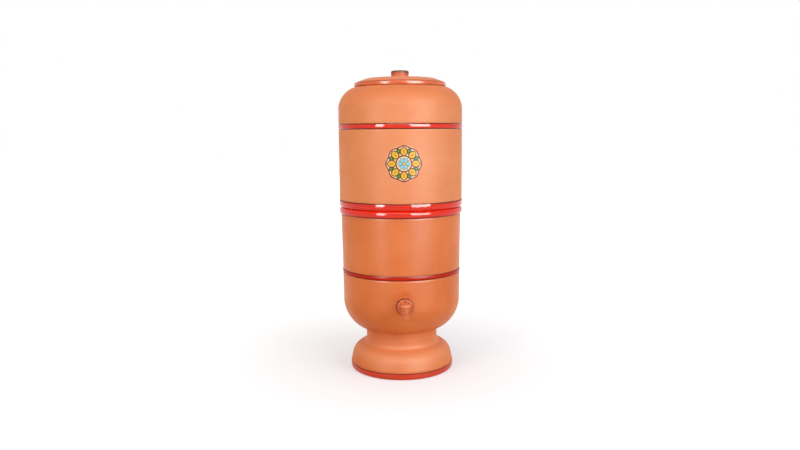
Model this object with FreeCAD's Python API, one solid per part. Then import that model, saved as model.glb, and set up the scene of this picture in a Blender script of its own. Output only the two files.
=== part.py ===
"""Two-chamber clay water filter with a tap: a lid, an upper chamber that holds raw water and the
filter candle, and a lower chamber on a pedestal foot that holds filtered water and carries the tap.

The frame is in millimetres, +Z up. The origin is the centre of the foot, on the surface that it
stands on, and the tap faces -Y. Each sub-part is written to parts/NODE.step.
"""

import FreeCAD, Part
import math
import os

from FreeCAD import Vector

# ---------------------------------------------------------------- driving dimensions, mm

# Rounded edges that many pieces share, and how far a cutter runs past what it cuts
CLAY_EDGE = 2.0
CLAY_FILLET = 4.0
MOULDED_EDGE = 0.6
MOULDED_FILLET = 1.2
RUBBER_EDGE = 0.5
CUT_PAST = 1.0

# Pedestal foot
FOOT_RADIUS = 91.5
FOOT_WALL = 10.0
FOOT_EDGE_ROUND = 5.0
FOOT_BAND_HEIGHT = 13.7
FOOT_BAND_STEP = 0.5
PEDESTAL_HEIGHT = 46.2
PEDESTAL_LEAN = 6.3
PEDESTAL_SHOULDER_ROUND = 22.3
PEDESTAL_SHOULDER_SLOPE = 5.4
WAIST_INSET = 28.2
WAIST_HEIGHT = 28.5
WAIST_FILLET = 8.0

# Lower chamber
WALL = 8.0
LOWER_HEIGHT = 216.3
LOWER_RADIUS = 105.2
LOWER_TAPER = 2.6
BOWL_CURVE_HEIGHT = 51.0
BOWL_FULLNESS = 0.49
LOWER_FLOOR = 9.0
RIM_BEAD_HEIGHT = 12.7
RIM_BEAD_PROUD = 3.1
BEAD_ROUND = 5.0

# Upper chamber
UPPER_OVERHANG = 2.3
UPPER_HEIGHT = 206.4
UPPER_FLOOR = 10.0
SPIGOT_DEPTH = 14.0
SPIGOT_CLEARANCE = 2.0
BASE_BEAD_HEIGHT = 13.6
BASE_BEAD_PROUD = 0.9
SHOULDER_HEIGHT = 35.2
SHOULDER_FULLNESS = 0.52
NECK_HEIGHT = 2.4
NECK_WALL = 8.5
NECK_EDGE = 0.8
MOUTH_RADIUS = 66.0
FLOOR_CURVE_WIDTH = 24.5
FLOOR_CURVE_HEIGHT = 25.0
FLOOR_FULLNESS = 0.35

# Relief bands around the chambers
UPPER_BAND_ABOVE_SEAT = 139.5
UPPER_BAND_HEIGHT = 10.0
UPPER_BAND_PROUD = 1.4
LOWER_BAND_BELOW_RIM = 111.0
LOWER_BAND_HEIGHT = 8.0
LOWER_BAND_PROUD = 1.1

# Lid with its knob
LID_OVERHANG = 5.1
LID_EDGE = 6.6
LID_EDGE_ROUND = 4.0
LID_LOWER_EDGE = 1.2
LID_SLOPE_WIDTH = 20.0
LID_SLOPE_HEIGHT = 7.3
LID_SLOPE_ROUND = 16.0
LID_DOME = 2.2
LID_WALL = 8.0
LID_RING_DEPTH = 8.0
LID_RING_WALL = 7.0
LID_RING_CLEARANCE = 1.5
KNOB_RADIUS = 16.0
KNOB_HEIGHT = 11.5
KNOB_WAIST = 1.2
KNOB_ROUND = 3.2
KNOB_FILLET = 2.5

# Printed label on the front of the upper chamber
LABEL_RADIUS = 30.0
LABEL_ABOVE_SEAT = 78.0
LABEL_THICKNESS = 0.25
LABEL_GLUE = 0.05

# Filter candle, standing on the floor of the upper chamber
CANDLE_RADIUS = 25.0
CANDLE_WALL = 8.0
CANDLE_HEIGHT = 100.0
CUP_WALL = 2.0
CUP_HEIGHT = 15.0
CUP_FLOOR = 4.0
CUP_EDGE = 2.0
STEM_RADIUS = 5.8
STEM_BORE = 2.5
STEM_LENGTH = 37.0
STEM_PITCH = 1.5
CANDLE_GASKET_RADIUS = 18.0
CANDLE_GASKET_THICKNESS = 3.0
CANDLE_WASHER_RADIUS = 16.0
CANDLE_WASHER_THICKNESS = 2.5
CANDLE_HOLE_CLEARANCE = 0.7
CARBON_GAP = 0.3
CARBON_HEADROOM = 6.0
WING_NUT_RADIUS = 10.5
WING_NUT_HEIGHT = 11.0
WING_SPAN = 44.0
WING_THICKNESS = 3.0
WING_STEP = 2.0
WING_CORNER = 3.0

# Float valve under the candle's stem
HOLDER_RADIUS = 9.5
HOLDER_HEIGHT = 16.0
HOLDER_THREAD = 8.0
NOZZLE_RADIUS = 4.5
NOZZLE_LENGTH = 3.0
FLOAT_PIVOT_REACH = 15.0
FLOAT_PIN_RADIUS = 1.5
FLOAT_PIN_CLEARANCE = 0.08
EAR_THICKNESS = 2.6
ARM_WIDTH = 7.0
ARM_THICKNESS = 3.0
ARM_REACH = 46.0
ARM_EYE_WALL = 2.2
ARM_SIDE_CLEARANCE = 0.35
FLOAT_RADIUS = 17.0
FLOAT_HEIGHT = 24.0
FLOAT_EDGE_ROUND = 5.0
FLOAT_STUD_RADIUS = 2.0
FLOAT_DROOP = 24.0
FLOAT_STOP_REACH = 8.0
FLOAT_STOP_GAP = 0.1
FLOAT_STOP_THICKNESS = 2.8
PAD_RADIUS = 5.5
PAD_RIM = 1.2
PAD_THICKNESS = 2.2
PAD_POCKET = 1.0
PAD_SHUT_GAP = 0.3

# Tap, through the wall of the lower chamber
TAP_ABOVE_BOWL_CURVE = 6.3
TAP_PAD_MARGIN = 2.5
TAP_PAD_CUT = 1.2
TAP_STEM_RADIUS = 8.2
TAP_STEM_LENGTH = 28.0
TAP_STEM_PITCH = 1.8
TAP_HOLE_CLEARANCE = 0.8
TAP_BORE = 3.0
TAP_FLANGE_RADIUS = 13.2
TAP_FLANGE_THICKNESS = 3.0
TAP_GASKET_PROUD = 1.1
TAP_GASKET_THICKNESS = 2.2
TAP_BARREL_RADIUS = 4.8
TAP_REACH = 18.0
TAP_CHAMBER_RADIUS = 7.2
TAP_CHAMBER_TOP = 7.0
TAP_CHAMBER_FLOOR = 5.6
SPOUT_WALL = 1.6
SPOUT_BORE = 4.2
SPOUT_DROP = 15.5
PLUG_RADIUS = 5.2
PLUG_CLEARANCE = 0.06
PLUG_END_PLAY = 0.1
PLUG_PORT = 2.5
PLUG_NECK_RADIUS = 3.3
ORING_SECTION = 0.8
ORING_SPACING = 8.2
ORING_CLEARANCE = 0.03
CAP_WALL = 1.0
CAP_SKIRT = 2.0
CAP_LIP = 1.6
THREAD_CLEARANCE = 0.05
HANDLE_GAP = 0.3
HANDLE_HUB_RADIUS = 5.2
HANDLE_HUB_HEIGHT = 3.4
HANDLE_GRIP = 2.4
HANDLE_HEIGHT = 7.0
HANDLE_SPAN = 17.4
HANDLE_THICKNESS = 4.6
HANDLE_NOTCH = 2.4
HANDLE_END_ROUND = 2.1
HANDLE_FLAT = 1.0
SCREW_RADIUS = 1.0
SCREW_HEAD_RADIUS = 1.7
SCREW_HEAD_HEIGHT = 1.2
SCREW_HEAD_CLEARANCE = 0.1
SCREW_LENGTH = 7.0
SCREW_SLOT = 0.5
SCREW_EDGE = 0.4
PILOT_DEPTH = 0.5
TAP_NUT_ACROSS_FLATS = 26.0
TAP_NUT_THICKNESS = 7.0
TAP_NUT_COLLAR_RADIUS = 14.5
TAP_NUT_COLLAR = 1.6
TAP_NUT_CHAMFER = 1.0

# ---------------------------------------------------------------- heights and radii that follow

WAIST_RADIUS = FOOT_RADIUS - WAIST_INSET
BOWL_BOTTOM = PEDESTAL_HEIGHT + WAIST_HEIGHT
BOWL_CURVE_TOP = BOWL_BOTTOM + BOWL_CURVE_HEIGHT
RIM_BEAD_BOTTOM = BOWL_BOTTOM + LOWER_HEIGHT - RIM_BEAD_HEIGHT
SEAT = BOWL_BOTTOM + LOWER_HEIGHT
LOWER_FLOOR_TOP = BOWL_BOTTOM + LOWER_FLOOR
LOWER_MOUTH_RADIUS = LOWER_RADIUS - WALL
UPPER_FLOOR_BOTTOM = SEAT - SPIGOT_DEPTH
UPPER_FLOOR_TOP = UPPER_FLOOR_BOTTOM + UPPER_FLOOR
LID_SEAT = SEAT + UPPER_HEIGHT
SHOULDER_TOP = LID_SEAT - NECK_HEIGHT
CANDLE_BASE = UPPER_FLOOR_TOP + CANDLE_GASKET_THICKNESS
WING_NUT_TOP = UPPER_FLOOR_BOTTOM - CANDLE_WASHER_THICKNESS
STEM_END = CANDLE_BASE - STEM_LENGTH
HOLDER_TOP = STEM_END + HOLDER_THREAD
NOZZLE_TIP = HOLDER_TOP - HOLDER_HEIGHT - NOZZLE_LENGTH
TAP_AXIS = BOWL_CURVE_TOP + TAP_ABOVE_BOWL_CURVE
UPPER_RADIUS = LOWER_RADIUS + UPPER_OVERHANG
NECK_RADIUS = MOUTH_RADIUS + NECK_WALL
LID_RADIUS = NECK_RADIUS + LID_OVERHANG
SHOULDER_WIDTH = UPPER_RADIUS - NECK_RADIUS
TAP_GASKET_RADIUS = TAP_FLANGE_RADIUS + TAP_GASKET_PROUD
TAP_PAD_RADIUS = max(TAP_GASKET_RADIUS, TAP_NUT_COLLAR_RADIUS) + TAP_PAD_MARGIN
SPOUT_RADIUS = SPOUT_BORE + SPOUT_WALL
HANDLE_BOTTOM = TAP_CHAMBER_TOP + CAP_LIP + HANDLE_GAP
SCREW_SEAT = HANDLE_BOTTOM + HANDLE_HUB_HEIGHT

AXIS = Vector(0, 0, 1)
TINY = 1e-6
QUARTER_ELLIPSE = 4 / 3 * (math.sqrt(2) - 1)


# ---------------------------------------------------------------- outlines turned about an axis


def rounded_edges(corners):
    """Edges of the closed outline through corners, each (r, z) or (r, z, rounding). A rounding is a
    fillet's radius, or how far a soft curve starts before its corner and ends after it. A third
    value there says how full the curve is."""
    points = [Vector(c[0], 0, c[1]) for c in corners]
    pieces = []
    for i, corner in enumerate(corners):
        at = points[i]
        if len(corner) == 2 or not corner[2]:
            pieces.append((at, None, at))
            continue
        back = (points[i - 1] - at).normalize()
        on = (points[(i + 1) % len(points)] - at).normalize()
        if isinstance(corner[2], tuple):
            pieces.append(soft_corner(at, back, on, *corner[2]))
        else:
            pieces.append(round_corner(at, back, on, corner[2]))
    edges = []
    for i, (start, curve, end) in enumerate(pieces):
        previous_end = pieces[i - 1][2]
        if previous_end.distanceToPoint(start) > TINY:
            edges.append(Part.LineSegment(previous_end, start).toShape())
        if curve is not None:
            edges.append(curve)
    return edges


def round_corner(at, back, on, radius):
    """A fillet: (start, arc, end) at a corner whose edges run along back and on."""
    half = back.getAngle(on) / 2
    start = at + back * (radius / math.tan(half))
    end = at + on * (radius / math.tan(half))
    middle = at + (back + on).normalize() * (radius / math.sin(half) - radius)
    return start, Part.Arc(start, middle, end).toShape(), end


def soft_corner(at, back, on, along_back, along_on, fullness=QUARTER_ELLIPSE):
    """A curve tangent to both edges of the corner: (start, curve, end), a quarter of an ellipse
    unless it is fuller or flatter."""
    start = at + back * along_back
    end = at + on * along_on
    curve = Part.BezierCurve()
    curve.setPoles([start, start + (at - start) * fullness, end + (at - end) * fullness, end])
    return start, curve.toShape(), end


def turned(corners):
    """The solid that the outline sweeps in a full turn about Z."""
    face = Part.Face(Part.Wire(rounded_edges(corners)))
    return face.revolve(Vector(0, 0, 0), AXIS, 360)


def bead(radius, z, height, proud):
    """Corners of a half-round bead that stands out of a wall by proud, from low to high."""
    half = height / 2
    arc_radius = (half**2 + proud**2) / (2 * proud)
    peak = half**2 / math.sqrt(arc_radius**2 - half**2)
    return [(radius, z - half), (radius + peak, z, arc_radius), (radius, z + half)]


def threaded_outline(radius, bottom, top, pitch):
    """Corners up the outside of a threaded rod, its thread drawn as level ridges."""
    depth = 0.4 * pitch
    turns = int((top - bottom - pitch) / pitch)
    corners = []
    for turn in range(turns):
        z = bottom + (turn + 0.5) * pitch
        corners += [(radius, z), (radius - depth, z + pitch / 2)]
    return [(radius - depth, bottom), *corners, (radius, bottom + (turns + 0.5) * pitch)]


def tube(outer, inner, bottom, top, edge=0.0):
    """A round ring about Z, with its outer edges rounded by edge."""
    corners = [(inner, bottom), (outer, bottom, edge), (outer, top, edge), (inner, top)]
    return turned(corners)


def rod(radius, start, direction, length):
    """A plain cylinder."""
    return Part.makeCylinder(radius, length, start, direction)


def box(low, high):
    """A block between two corners."""
    size = [b - a for a, b in zip(low, high)]
    return Part.makeBox(*size, Vector(*low))


def laid_forward(shape):
    """Turns a shape that was made about +Z so that its axis points along -Y."""
    shape.rotate(Vector(0, 0, 0), Vector(1, 0, 0), 90)
    return shape


# ---------------------------------------------------------------- clay


def lower_radius(z):
    """Outer radius of the lower chamber's tapered wall, also where the bowl curves away from it."""
    below_rim = (RIM_BEAD_BOTTOM - z) / (RIM_BEAD_BOTTOM - BOWL_BOTTOM)
    return LOWER_RADIUS - LOWER_TAPER * below_rim


def lower_band():
    """The relief band on the lower chamber's tapered wall."""
    z = SEAT - LOWER_BAND_BELOW_RIM
    low, peak, high = bead(lower_radius(z), z, LOWER_BAND_HEIGHT, LOWER_BAND_PROUD)
    return [(lower_radius(low[1]), low[1]), peak, (lower_radius(high[1]), high[1])]


def pedestal_foot():
    """Hollow pedestal, thrown by itself and joined to the underside of the bowl before firing."""
    shoulder = (FOOT_RADIUS - PEDESTAL_LEAN, PEDESTAL_HEIGHT - PEDESTAL_SHOULDER_SLOPE)
    outside = [
        (FOOT_RADIUS - FOOT_WALL, 0, CLAY_EDGE),
        (FOOT_RADIUS, 0, FOOT_EDGE_ROUND),
        (FOOT_RADIUS, FOOT_BAND_HEIGHT, FOOT_BAND_STEP),
        (FOOT_RADIUS - FOOT_BAND_STEP, FOOT_BAND_HEIGHT),
        (*shoulder, PEDESTAL_SHOULDER_ROUND),
        (WAIST_RADIUS, PEDESTAL_HEIGHT, WAIST_FILLET),
        (WAIST_RADIUS, BOWL_BOTTOM),
    ]
    hollow_radius = WAIST_RADIUS - FOOT_WALL
    inside = [
        (hollow_radius, BOWL_BOTTOM),
        (hollow_radius, PEDESTAL_HEIGHT - FOOT_WALL, CLAY_FILLET),
        (shoulder[0] - FOOT_WALL, shoulder[1] - FOOT_WALL, PEDESTAL_SHOULDER_ROUND - FOOT_WALL),
    ]
    return turned([*outside, *inside])


def lower_chamber():
    """Bowl with its rim, and with the flat pads and the hole for the tap."""
    rim_bead_radius = LOWER_RADIUS + RIM_BEAD_PROUD
    corner_radius = lower_radius(BOWL_BOTTOM)
    curve_width = corner_radius - WAIST_RADIUS
    outside = [
        (0, BOWL_BOTTOM),
        (corner_radius, BOWL_BOTTOM, (curve_width, BOWL_CURVE_HEIGHT, BOWL_FULLNESS)),
        *lower_band(),
        (LOWER_RADIUS, RIM_BEAD_BOTTOM),
        (rim_bead_radius, RIM_BEAD_BOTTOM, (RIM_BEAD_PROUD, BEAD_ROUND)),
        (rim_bead_radius, SEAT, (BEAD_ROUND, BEAD_ROUND)),
    ]
    inner_corner_radius = lower_radius(LOWER_FLOOR_TOP) - WALL
    inner_curve = (BOWL_CURVE_TOP - LOWER_FLOOR_TOP, inner_corner_radius - WAIST_RADIUS, BOWL_FULLNESS)
    inside = [
        (LOWER_MOUTH_RADIUS, SEAT, CLAY_EDGE),
        (LOWER_MOUTH_RADIUS, RIM_BEAD_BOTTOM),
        (inner_corner_radius, LOWER_FLOOR_TOP, inner_curve),
        (0, LOWER_FLOOR_TOP),
    ]
    return with_tap_pads(turned([*outside, *inside]))


def tap_pad_outer():
    """Distance from the axis of the flat that the tap's front gasket lies on."""
    return lower_radius(TAP_AXIS) - TAP_PAD_CUT


def tap_pad_inner():
    """Distance from the axis of the flat inside the wall, where the back gasket lies."""
    inner_radius = lower_radius(TAP_AXIS) - WALL
    return math.sqrt(inner_radius**2 - TAP_PAD_RADIUS**2)


def with_tap_pads(clay):
    """Adds the flat boss inside, cuts the flat outside and drills the hole for the tap's stem."""
    forward = Vector(0, -1, 0)
    inner = tap_pad_inner()
    middle_of_wall = lower_radius(TAP_AXIS) - WALL / 2
    boss = rod(TAP_PAD_RADIUS, Vector(0, -inner, TAP_AXIS), forward, middle_of_wall - inner)
    flat = rod(TAP_PAD_RADIUS, Vector(0, -tap_pad_outer(), TAP_AXIS), forward, WALL)
    hole_radius = TAP_STEM_RADIUS + TAP_HOLE_CLEARANCE
    hole = rod(hole_radius, Vector(0, -inner + WALL, TAP_AXIS), forward, 4 * WALL)
    return clay.fuse(boss).cut(flat).cut(hole).removeSplitter()


def upper_chamber():
    """Cylinder with a rounded shoulder, a mouth for the lid and a spigot that drops in the rim below."""
    base_bead_radius = UPPER_RADIUS + BASE_BEAD_PROUD
    spigot_radius = LOWER_MOUTH_RADIUS - SPIGOT_CLEARANCE
    inner_radius = UPPER_RADIUS - WALL
    below = [
        (0, UPPER_FLOOR_BOTTOM),
        (spigot_radius, UPPER_FLOOR_BOTTOM, CLAY_EDGE),
        (spigot_radius, SEAT),
        (base_bead_radius, SEAT, (BEAD_ROUND, BEAD_ROUND)),
        (base_bead_radius, SEAT + BASE_BEAD_HEIGHT, (BEAD_ROUND, BASE_BEAD_PROUD)),
        (UPPER_RADIUS, SEAT + BASE_BEAD_HEIGHT),
    ]
    band_z = SEAT + UPPER_BAND_ABOVE_SEAT
    outside = [
        *bead(UPPER_RADIUS, band_z, UPPER_BAND_HEIGHT, UPPER_BAND_PROUD),
        (UPPER_RADIUS, SHOULDER_TOP, (SHOULDER_HEIGHT, SHOULDER_WIDTH, SHOULDER_FULLNESS)),
    ]
    mouth = [
        (NECK_RADIUS, LID_SEAT, NECK_EDGE),
        (MOUTH_RADIUS, LID_SEAT, CLAY_EDGE),
        (MOUTH_RADIUS, SHOULDER_TOP - WALL, CLAY_EDGE),
    ]
    inside = [
        (
            inner_radius,
            SHOULDER_TOP - WALL,
            (SHOULDER_WIDTH - WALL, SHOULDER_HEIGHT - WALL, SHOULDER_FULLNESS),
        ),
        (inner_radius, UPPER_FLOOR_TOP, (FLOOR_CURVE_HEIGHT, FLOOR_CURVE_WIDTH, FLOOR_FULLNESS)),
        (0, UPPER_FLOOR_TOP),
    ]
    clay = turned([*below, *outside, *mouth, *inside])
    hole_radius = STEM_RADIUS + CANDLE_HOLE_CLEARANCE
    return clay.cut(rod(hole_radius, Vector(0, 0, UPPER_FLOOR_BOTTOM), AXIS, UPPER_FLOOR))


def lid():
    """Lid that lies on the mouth, centred by a ring below, with its knob."""
    edge_top = LID_SEAT + LID_EDGE
    slope_top = edge_top + LID_SLOPE_HEIGHT
    crown = slope_top + LID_DOME
    knob_top = crown + KNOB_HEIGHT
    ring_outer = MOUTH_RADIUS - LID_RING_CLEARANCE
    ring_inner = ring_outer - LID_RING_WALL
    underside = [
        (0, crown - LID_WALL),
        (ring_inner, slope_top - LID_WALL, CLAY_EDGE),
        (ring_inner, LID_SEAT - LID_RING_DEPTH, CLAY_EDGE),
        (ring_outer, LID_SEAT - LID_RING_DEPTH, CLAY_EDGE),
        (ring_outer, LID_SEAT),
        (LID_RADIUS, LID_SEAT, LID_LOWER_EDGE),
    ]
    top = [
        (LID_RADIUS, edge_top, LID_EDGE_ROUND),
        (LID_RADIUS - LID_SLOPE_WIDTH, slope_top, LID_SLOPE_ROUND),
        (KNOB_RADIUS - KNOB_WAIST, crown, KNOB_FILLET),
        (KNOB_RADIUS, knob_top, KNOB_ROUND),
        (0, knob_top),
    ]
    return turned([*underside, *top])


def front_label():
    """Round printed label that follows the upper chamber's wall."""
    inner = UPPER_RADIUS + LABEL_GLUE
    z = SEAT + LABEL_ABOVE_SEAT
    skin = tube(inner + LABEL_THICKNESS, inner, z - LABEL_RADIUS, z + LABEL_RADIUS)
    cutter = rod(LABEL_RADIUS, Vector(0, 0, z), Vector(0, -1, 0), 2 * UPPER_RADIUS)
    return skin.common(cutter)


# ---------------------------------------------------------------- filter candle


def candle_base():
    """Moulded cup that the ceramic candle is glued in, with the threaded outlet stem below it."""
    cup_radius = CANDLE_RADIUS + CUP_WALL
    cup_top = CANDLE_BASE + CUP_HEIGHT
    cup_floor = CANDLE_BASE + CUP_FLOOR
    thread = threaded_outline(STEM_RADIUS, STEM_END, CANDLE_BASE, STEM_PITCH)
    return turned(
        [
            (STEM_BORE, STEM_END),
            *thread,
            (STEM_RADIUS, CANDLE_BASE),
            (cup_radius, CANDLE_BASE, CUP_EDGE),
            (cup_radius, cup_top, MOULDED_EDGE),
            (CANDLE_RADIUS, cup_top),
            (CANDLE_RADIUS, cup_floor),
            (STEM_BORE, cup_floor),
        ]
    )


def domed(radius, bottom, height):
    """Corners of a round-topped post, from its foot at the axis to its crown."""
    crown = bottom + height
    return [(0, bottom), (radius, bottom), (radius, crown, (radius, radius)), (0, crown)]


def candle_shell():
    """Porous ceramic candle: a thick round-topped tube, open below."""
    foot = CANDLE_BASE + CUP_FLOOR
    outside = turned(domed(CANDLE_RADIUS, foot, CANDLE_HEIGHT))
    inside = turned(domed(CANDLE_RADIUS - CANDLE_WALL, foot, CANDLE_HEIGHT - CANDLE_WALL))
    return outside.cut(inside)


def candle_carbon():
    """Granular carbon that fills the candle, lying on the cup's floor."""
    foot = CANDLE_BASE + CUP_FLOOR
    radius = CANDLE_RADIUS - CANDLE_WALL - CARBON_GAP
    return turned(domed(radius, foot, CANDLE_HEIGHT - CANDLE_WALL - CARBON_HEADROOM))


def candle_gasket():
    """Rubber washer between the candle and the floor of the upper chamber."""
    inner = STEM_RADIUS + CANDLE_HOLE_CLEARANCE
    return tube(CANDLE_GASKET_RADIUS, inner, UPPER_FLOOR_TOP, CANDLE_BASE, RUBBER_EDGE)


def candle_washer():
    """Flat washer under the floor of the upper chamber."""
    inner = STEM_RADIUS + THREAD_CLEARANCE
    return tube(CANDLE_WASHER_RADIUS, inner, WING_NUT_TOP, UPPER_FLOOR_BOTTOM, MOULDED_EDGE)


def candle_wing_nut():
    """Wing nut that pulls the candle down on its gasket."""
    bottom = WING_NUT_TOP - WING_NUT_HEIGHT
    half_span = WING_SPAN / 2
    half = WING_THICKNESS / 2
    wing_top = WING_NUT_TOP - WING_STEP
    bore_radius = STEM_RADIUS + THREAD_CLEARANCE
    hub = tube(WING_NUT_RADIUS, bore_radius, bottom, WING_NUT_TOP, MOULDED_EDGE)
    wings = box((-half_span, -half, bottom), (half_span, half, wing_top))
    corners = [e for e in wings.Edges if is_along_y(e)]
    wings = wings.makeFillet(WING_CORNER, corners)
    bore = rod(bore_radius, Vector(0, 0, bottom), AXIS, WING_NUT_HEIGHT)
    return hub.fuse(wings.cut(bore)).removeSplitter()


def is_along_y(edge):
    """True if a straight edge runs along Y."""
    ends = edge.Vertexes[0].Point - edge.Vertexes[1].Point
    return abs(ends.x) < TINY and abs(ends.z) < TINY


# ---------------------------------------------------------------- float valve


def arm_level():
    """Height of the arm's mid-plane and pivot when the float is up and the pad shuts the nozzle."""
    pad_top = NOZZLE_TIP - PAD_SHUT_GAP
    return pad_top - PAD_THICKNESS + PAD_POCKET - ARM_THICKNESS / 2


def pivot():
    """Centre of the float arm's pivot pin."""
    return Vector(FLOAT_PIVOT_REACH, 0, arm_level())


def drooped(shape):
    """Turns a shape that was made with the arm level to where the float hangs at rest."""
    shape.rotate(pivot(), Vector(0, 1, 0), -FLOAT_DROOP)
    return shape


def float_holder():
    """Cap that screws on the end of the stem, with a nozzle below and two ears for the arm's pin."""
    bottom = HOLDER_TOP - HOLDER_HEIGHT
    thread_bore = STEM_RADIUS + THREAD_CLEARANCE
    cap = turned(
        [
            (STEM_BORE, NOZZLE_TIP),
            (NOZZLE_RADIUS, NOZZLE_TIP, MOULDED_EDGE),
            (NOZZLE_RADIUS, bottom, MOULDED_FILLET),
            (HOLDER_RADIUS, bottom, MOULDED_FILLET),
            (HOLDER_RADIUS, HOLDER_TOP, MOULDED_EDGE),
            (thread_bore, HOLDER_TOP),
            (thread_bore, STEM_END),
            (STEM_BORE, STEM_END),
        ]
    )
    ears = float_ears(bottom)
    socket = rod(thread_bore, Vector(0, 0, STEM_END), AXIS, HOLDER_THREAD)
    return cap.fuse(ears.cut(socket)).removeSplitter()


def stop_height():
    """Height of the face that stops the arm's tail when the float hangs down."""
    droop = math.radians(FLOAT_DROOP)
    tail_corner = FLOAT_STOP_REACH * math.sin(droop) + ARM_THICKNESS / 2 * math.cos(droop)
    return arm_level() + tail_corner + FLOAT_STOP_GAP


def float_ears(bottom):
    """The two ears beside the arm's eye, drilled for the pin, and the stop above the arm's tail."""
    at = pivot()
    eye_radius = FLOAT_PIN_RADIUS + ARM_EYE_WALL
    gap = ARM_WIDTH / 2 + ARM_SIDE_CLEARANCE
    outer = gap + EAR_THICKNESS
    stop = stop_height()
    stop_top = stop + FLOAT_STOP_THICKNESS
    inner_x = STEM_RADIUS
    ears = box((inner_x, -outer, at.z), (at.x + eye_radius, outer, stop_top))
    ears = ears.fuse(rod(eye_radius, Vector(at.x, -outer, at.z), Vector(0, 1, 0), 2 * outer))
    stop_plate = box((inner_x, -outer, stop), (at.x + FLOAT_STOP_REACH, outer, stop_top))
    root = box((inner_x, -outer, at.z - eye_radius), (at.x - eye_radius, outer, bottom))
    slot = box((inner_x, -gap, at.z - 2 * eye_radius), (at.x + 2 * eye_radius, gap, stop))
    pin_hole = rod(FLOAT_PIN_RADIUS, Vector(at.x, -outer, at.z), Vector(0, 1, 0), 2 * outer)
    return ears.fuse(stop_plate).cut(root).cut(slot).cut(pin_hole)


def float_pivot_pin():
    """Pin that the float arm turns on, pressed into the ears."""
    outer = ARM_WIDTH / 2 + ARM_SIDE_CLEARANCE + EAR_THICKNESS
    at = pivot()
    return rod(FLOAT_PIN_RADIUS, Vector(at.x, -outer, at.z), Vector(0, 1, 0), 2 * outer)


def float_centre():
    """Centre of the float's top with the arm level."""
    return Vector(-ARM_REACH, 0, arm_level() - ARM_THICKNESS / 2)


def float_arm():
    """Flat lever with an eye at the pivot, a tail for the stop, a pocket for the pad and a stud that
    holds the float."""
    at = pivot()
    half_width = ARM_WIDTH / 2
    half = ARM_THICKNESS / 2
    eye_radius = FLOAT_PIN_RADIUS + ARM_EYE_WALL
    along_y = Vector(0, 1, 0)
    low = (-ARM_REACH, -half_width, at.z - half)
    bar = box(low, (at.x + FLOAT_STOP_REACH, half_width, at.z + half))
    end = rod(half_width, Vector(-ARM_REACH, 0, at.z - half), AXIS, ARM_THICKNESS)
    eye = rod(eye_radius, Vector(at.x, -half_width, at.z), along_y, ARM_WIDTH)
    seat = rod(PAD_RADIUS + PAD_RIM, Vector(0, 0, at.z - half), AXIS, ARM_THICKNESS)
    stud = rod(FLOAT_STUD_RADIUS, float_centre() - AXIS * FLOAT_HEIGHT, AXIS, FLOAT_HEIGHT + half)
    pocket = rod(PAD_RADIUS, Vector(0, 0, at.z + half - PAD_POCKET), AXIS, PAD_THICKNESS)
    pin_radius = FLOAT_PIN_RADIUS + FLOAT_PIN_CLEARANCE
    pin_hole = rod(pin_radius, Vector(at.x, -ARM_WIDTH, at.z), along_y, 2 * ARM_WIDTH)
    arm = bar.multiFuse([end, eye, seat, stud]).cut(pocket).cut(pin_hole)
    return drooped(arm.removeSplitter())


def float_body():
    """Closed-cell float, pushed on the arm's stud."""
    top = float_centre()
    body = tube(FLOAT_RADIUS, FLOAT_STUD_RADIUS, top.z - FLOAT_HEIGHT, top.z, FLOAT_EDGE_ROUND)
    body.translate(Vector(top.x, 0, 0))
    return drooped(body)


def float_pad():
    """Rubber pad that shuts the nozzle when the float rises."""
    bottom = arm_level() + ARM_THICKNESS / 2 - PAD_POCKET
    return drooped(rod(PAD_RADIUS, Vector(0, 0, bottom), AXIS, PAD_THICKNESS))


# ---------------------------------------------------------------- tap


def tap_flange_face():
    """Distance from the axis of the flange's back face, on the front gasket."""
    return tap_pad_outer() + TAP_GASKET_THICKNESS


def tap_centre():
    """Point on the vertical axis of the tap's plug, level with its inlet."""
    return Vector(0, -(tap_flange_face() + TAP_REACH), TAP_AXIS)


def at_tap(shape):
    """Moves a shape that was made about the world's Z axis to the tap's plug."""
    shape.translate(tap_centre())
    return shape


def plug_top():
    """Top of the plug above the tap's axis, under the cap's lip."""
    return TAP_CHAMBER_TOP - PLUG_END_PLAY


def tap_body():
    """Moulded body: threaded stem, flange, barrel, plug chamber and spout."""
    back = tap_flange_face()
    stem_end = back - TAP_STEM_LENGTH
    thread = threaded_outline(TAP_STEM_RADIUS, stem_end, back, TAP_STEM_PITCH)
    front = back + TAP_FLANGE_THICKNESS
    horizontal = turned(
        [
            (0, stem_end),
            *thread,
            (TAP_STEM_RADIUS, back),
            (TAP_FLANGE_RADIUS, back, MOULDED_EDGE),
            (TAP_FLANGE_RADIUS, front, MOULDED_FILLET),
            (TAP_BARREL_RADIUS, front, MOULDED_FILLET),
            (TAP_BARREL_RADIUS, back + TAP_REACH),
            (0, back + TAP_REACH),
        ]
    )
    horizontal = laid_forward(horizontal)
    horizontal.translate(Vector(0, 0, TAP_AXIS))
    vertical = turned(
        [
            (0, -SPOUT_DROP),
            (SPOUT_RADIUS, -SPOUT_DROP, MOULDED_EDGE),
            (SPOUT_RADIUS, -TAP_CHAMBER_FLOOR - SPOUT_WALL, MOULDED_FILLET),
            (TAP_CHAMBER_RADIUS, -TAP_CHAMBER_FLOOR, MOULDED_FILLET),
            (TAP_CHAMBER_RADIUS, TAP_CHAMBER_TOP),
            (0, TAP_CHAMBER_TOP),
        ]
    )
    body = horizontal.fuse(at_tap(vertical)).removeSplitter()
    return body.cut(tap_waterway()).removeSplitter()


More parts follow.
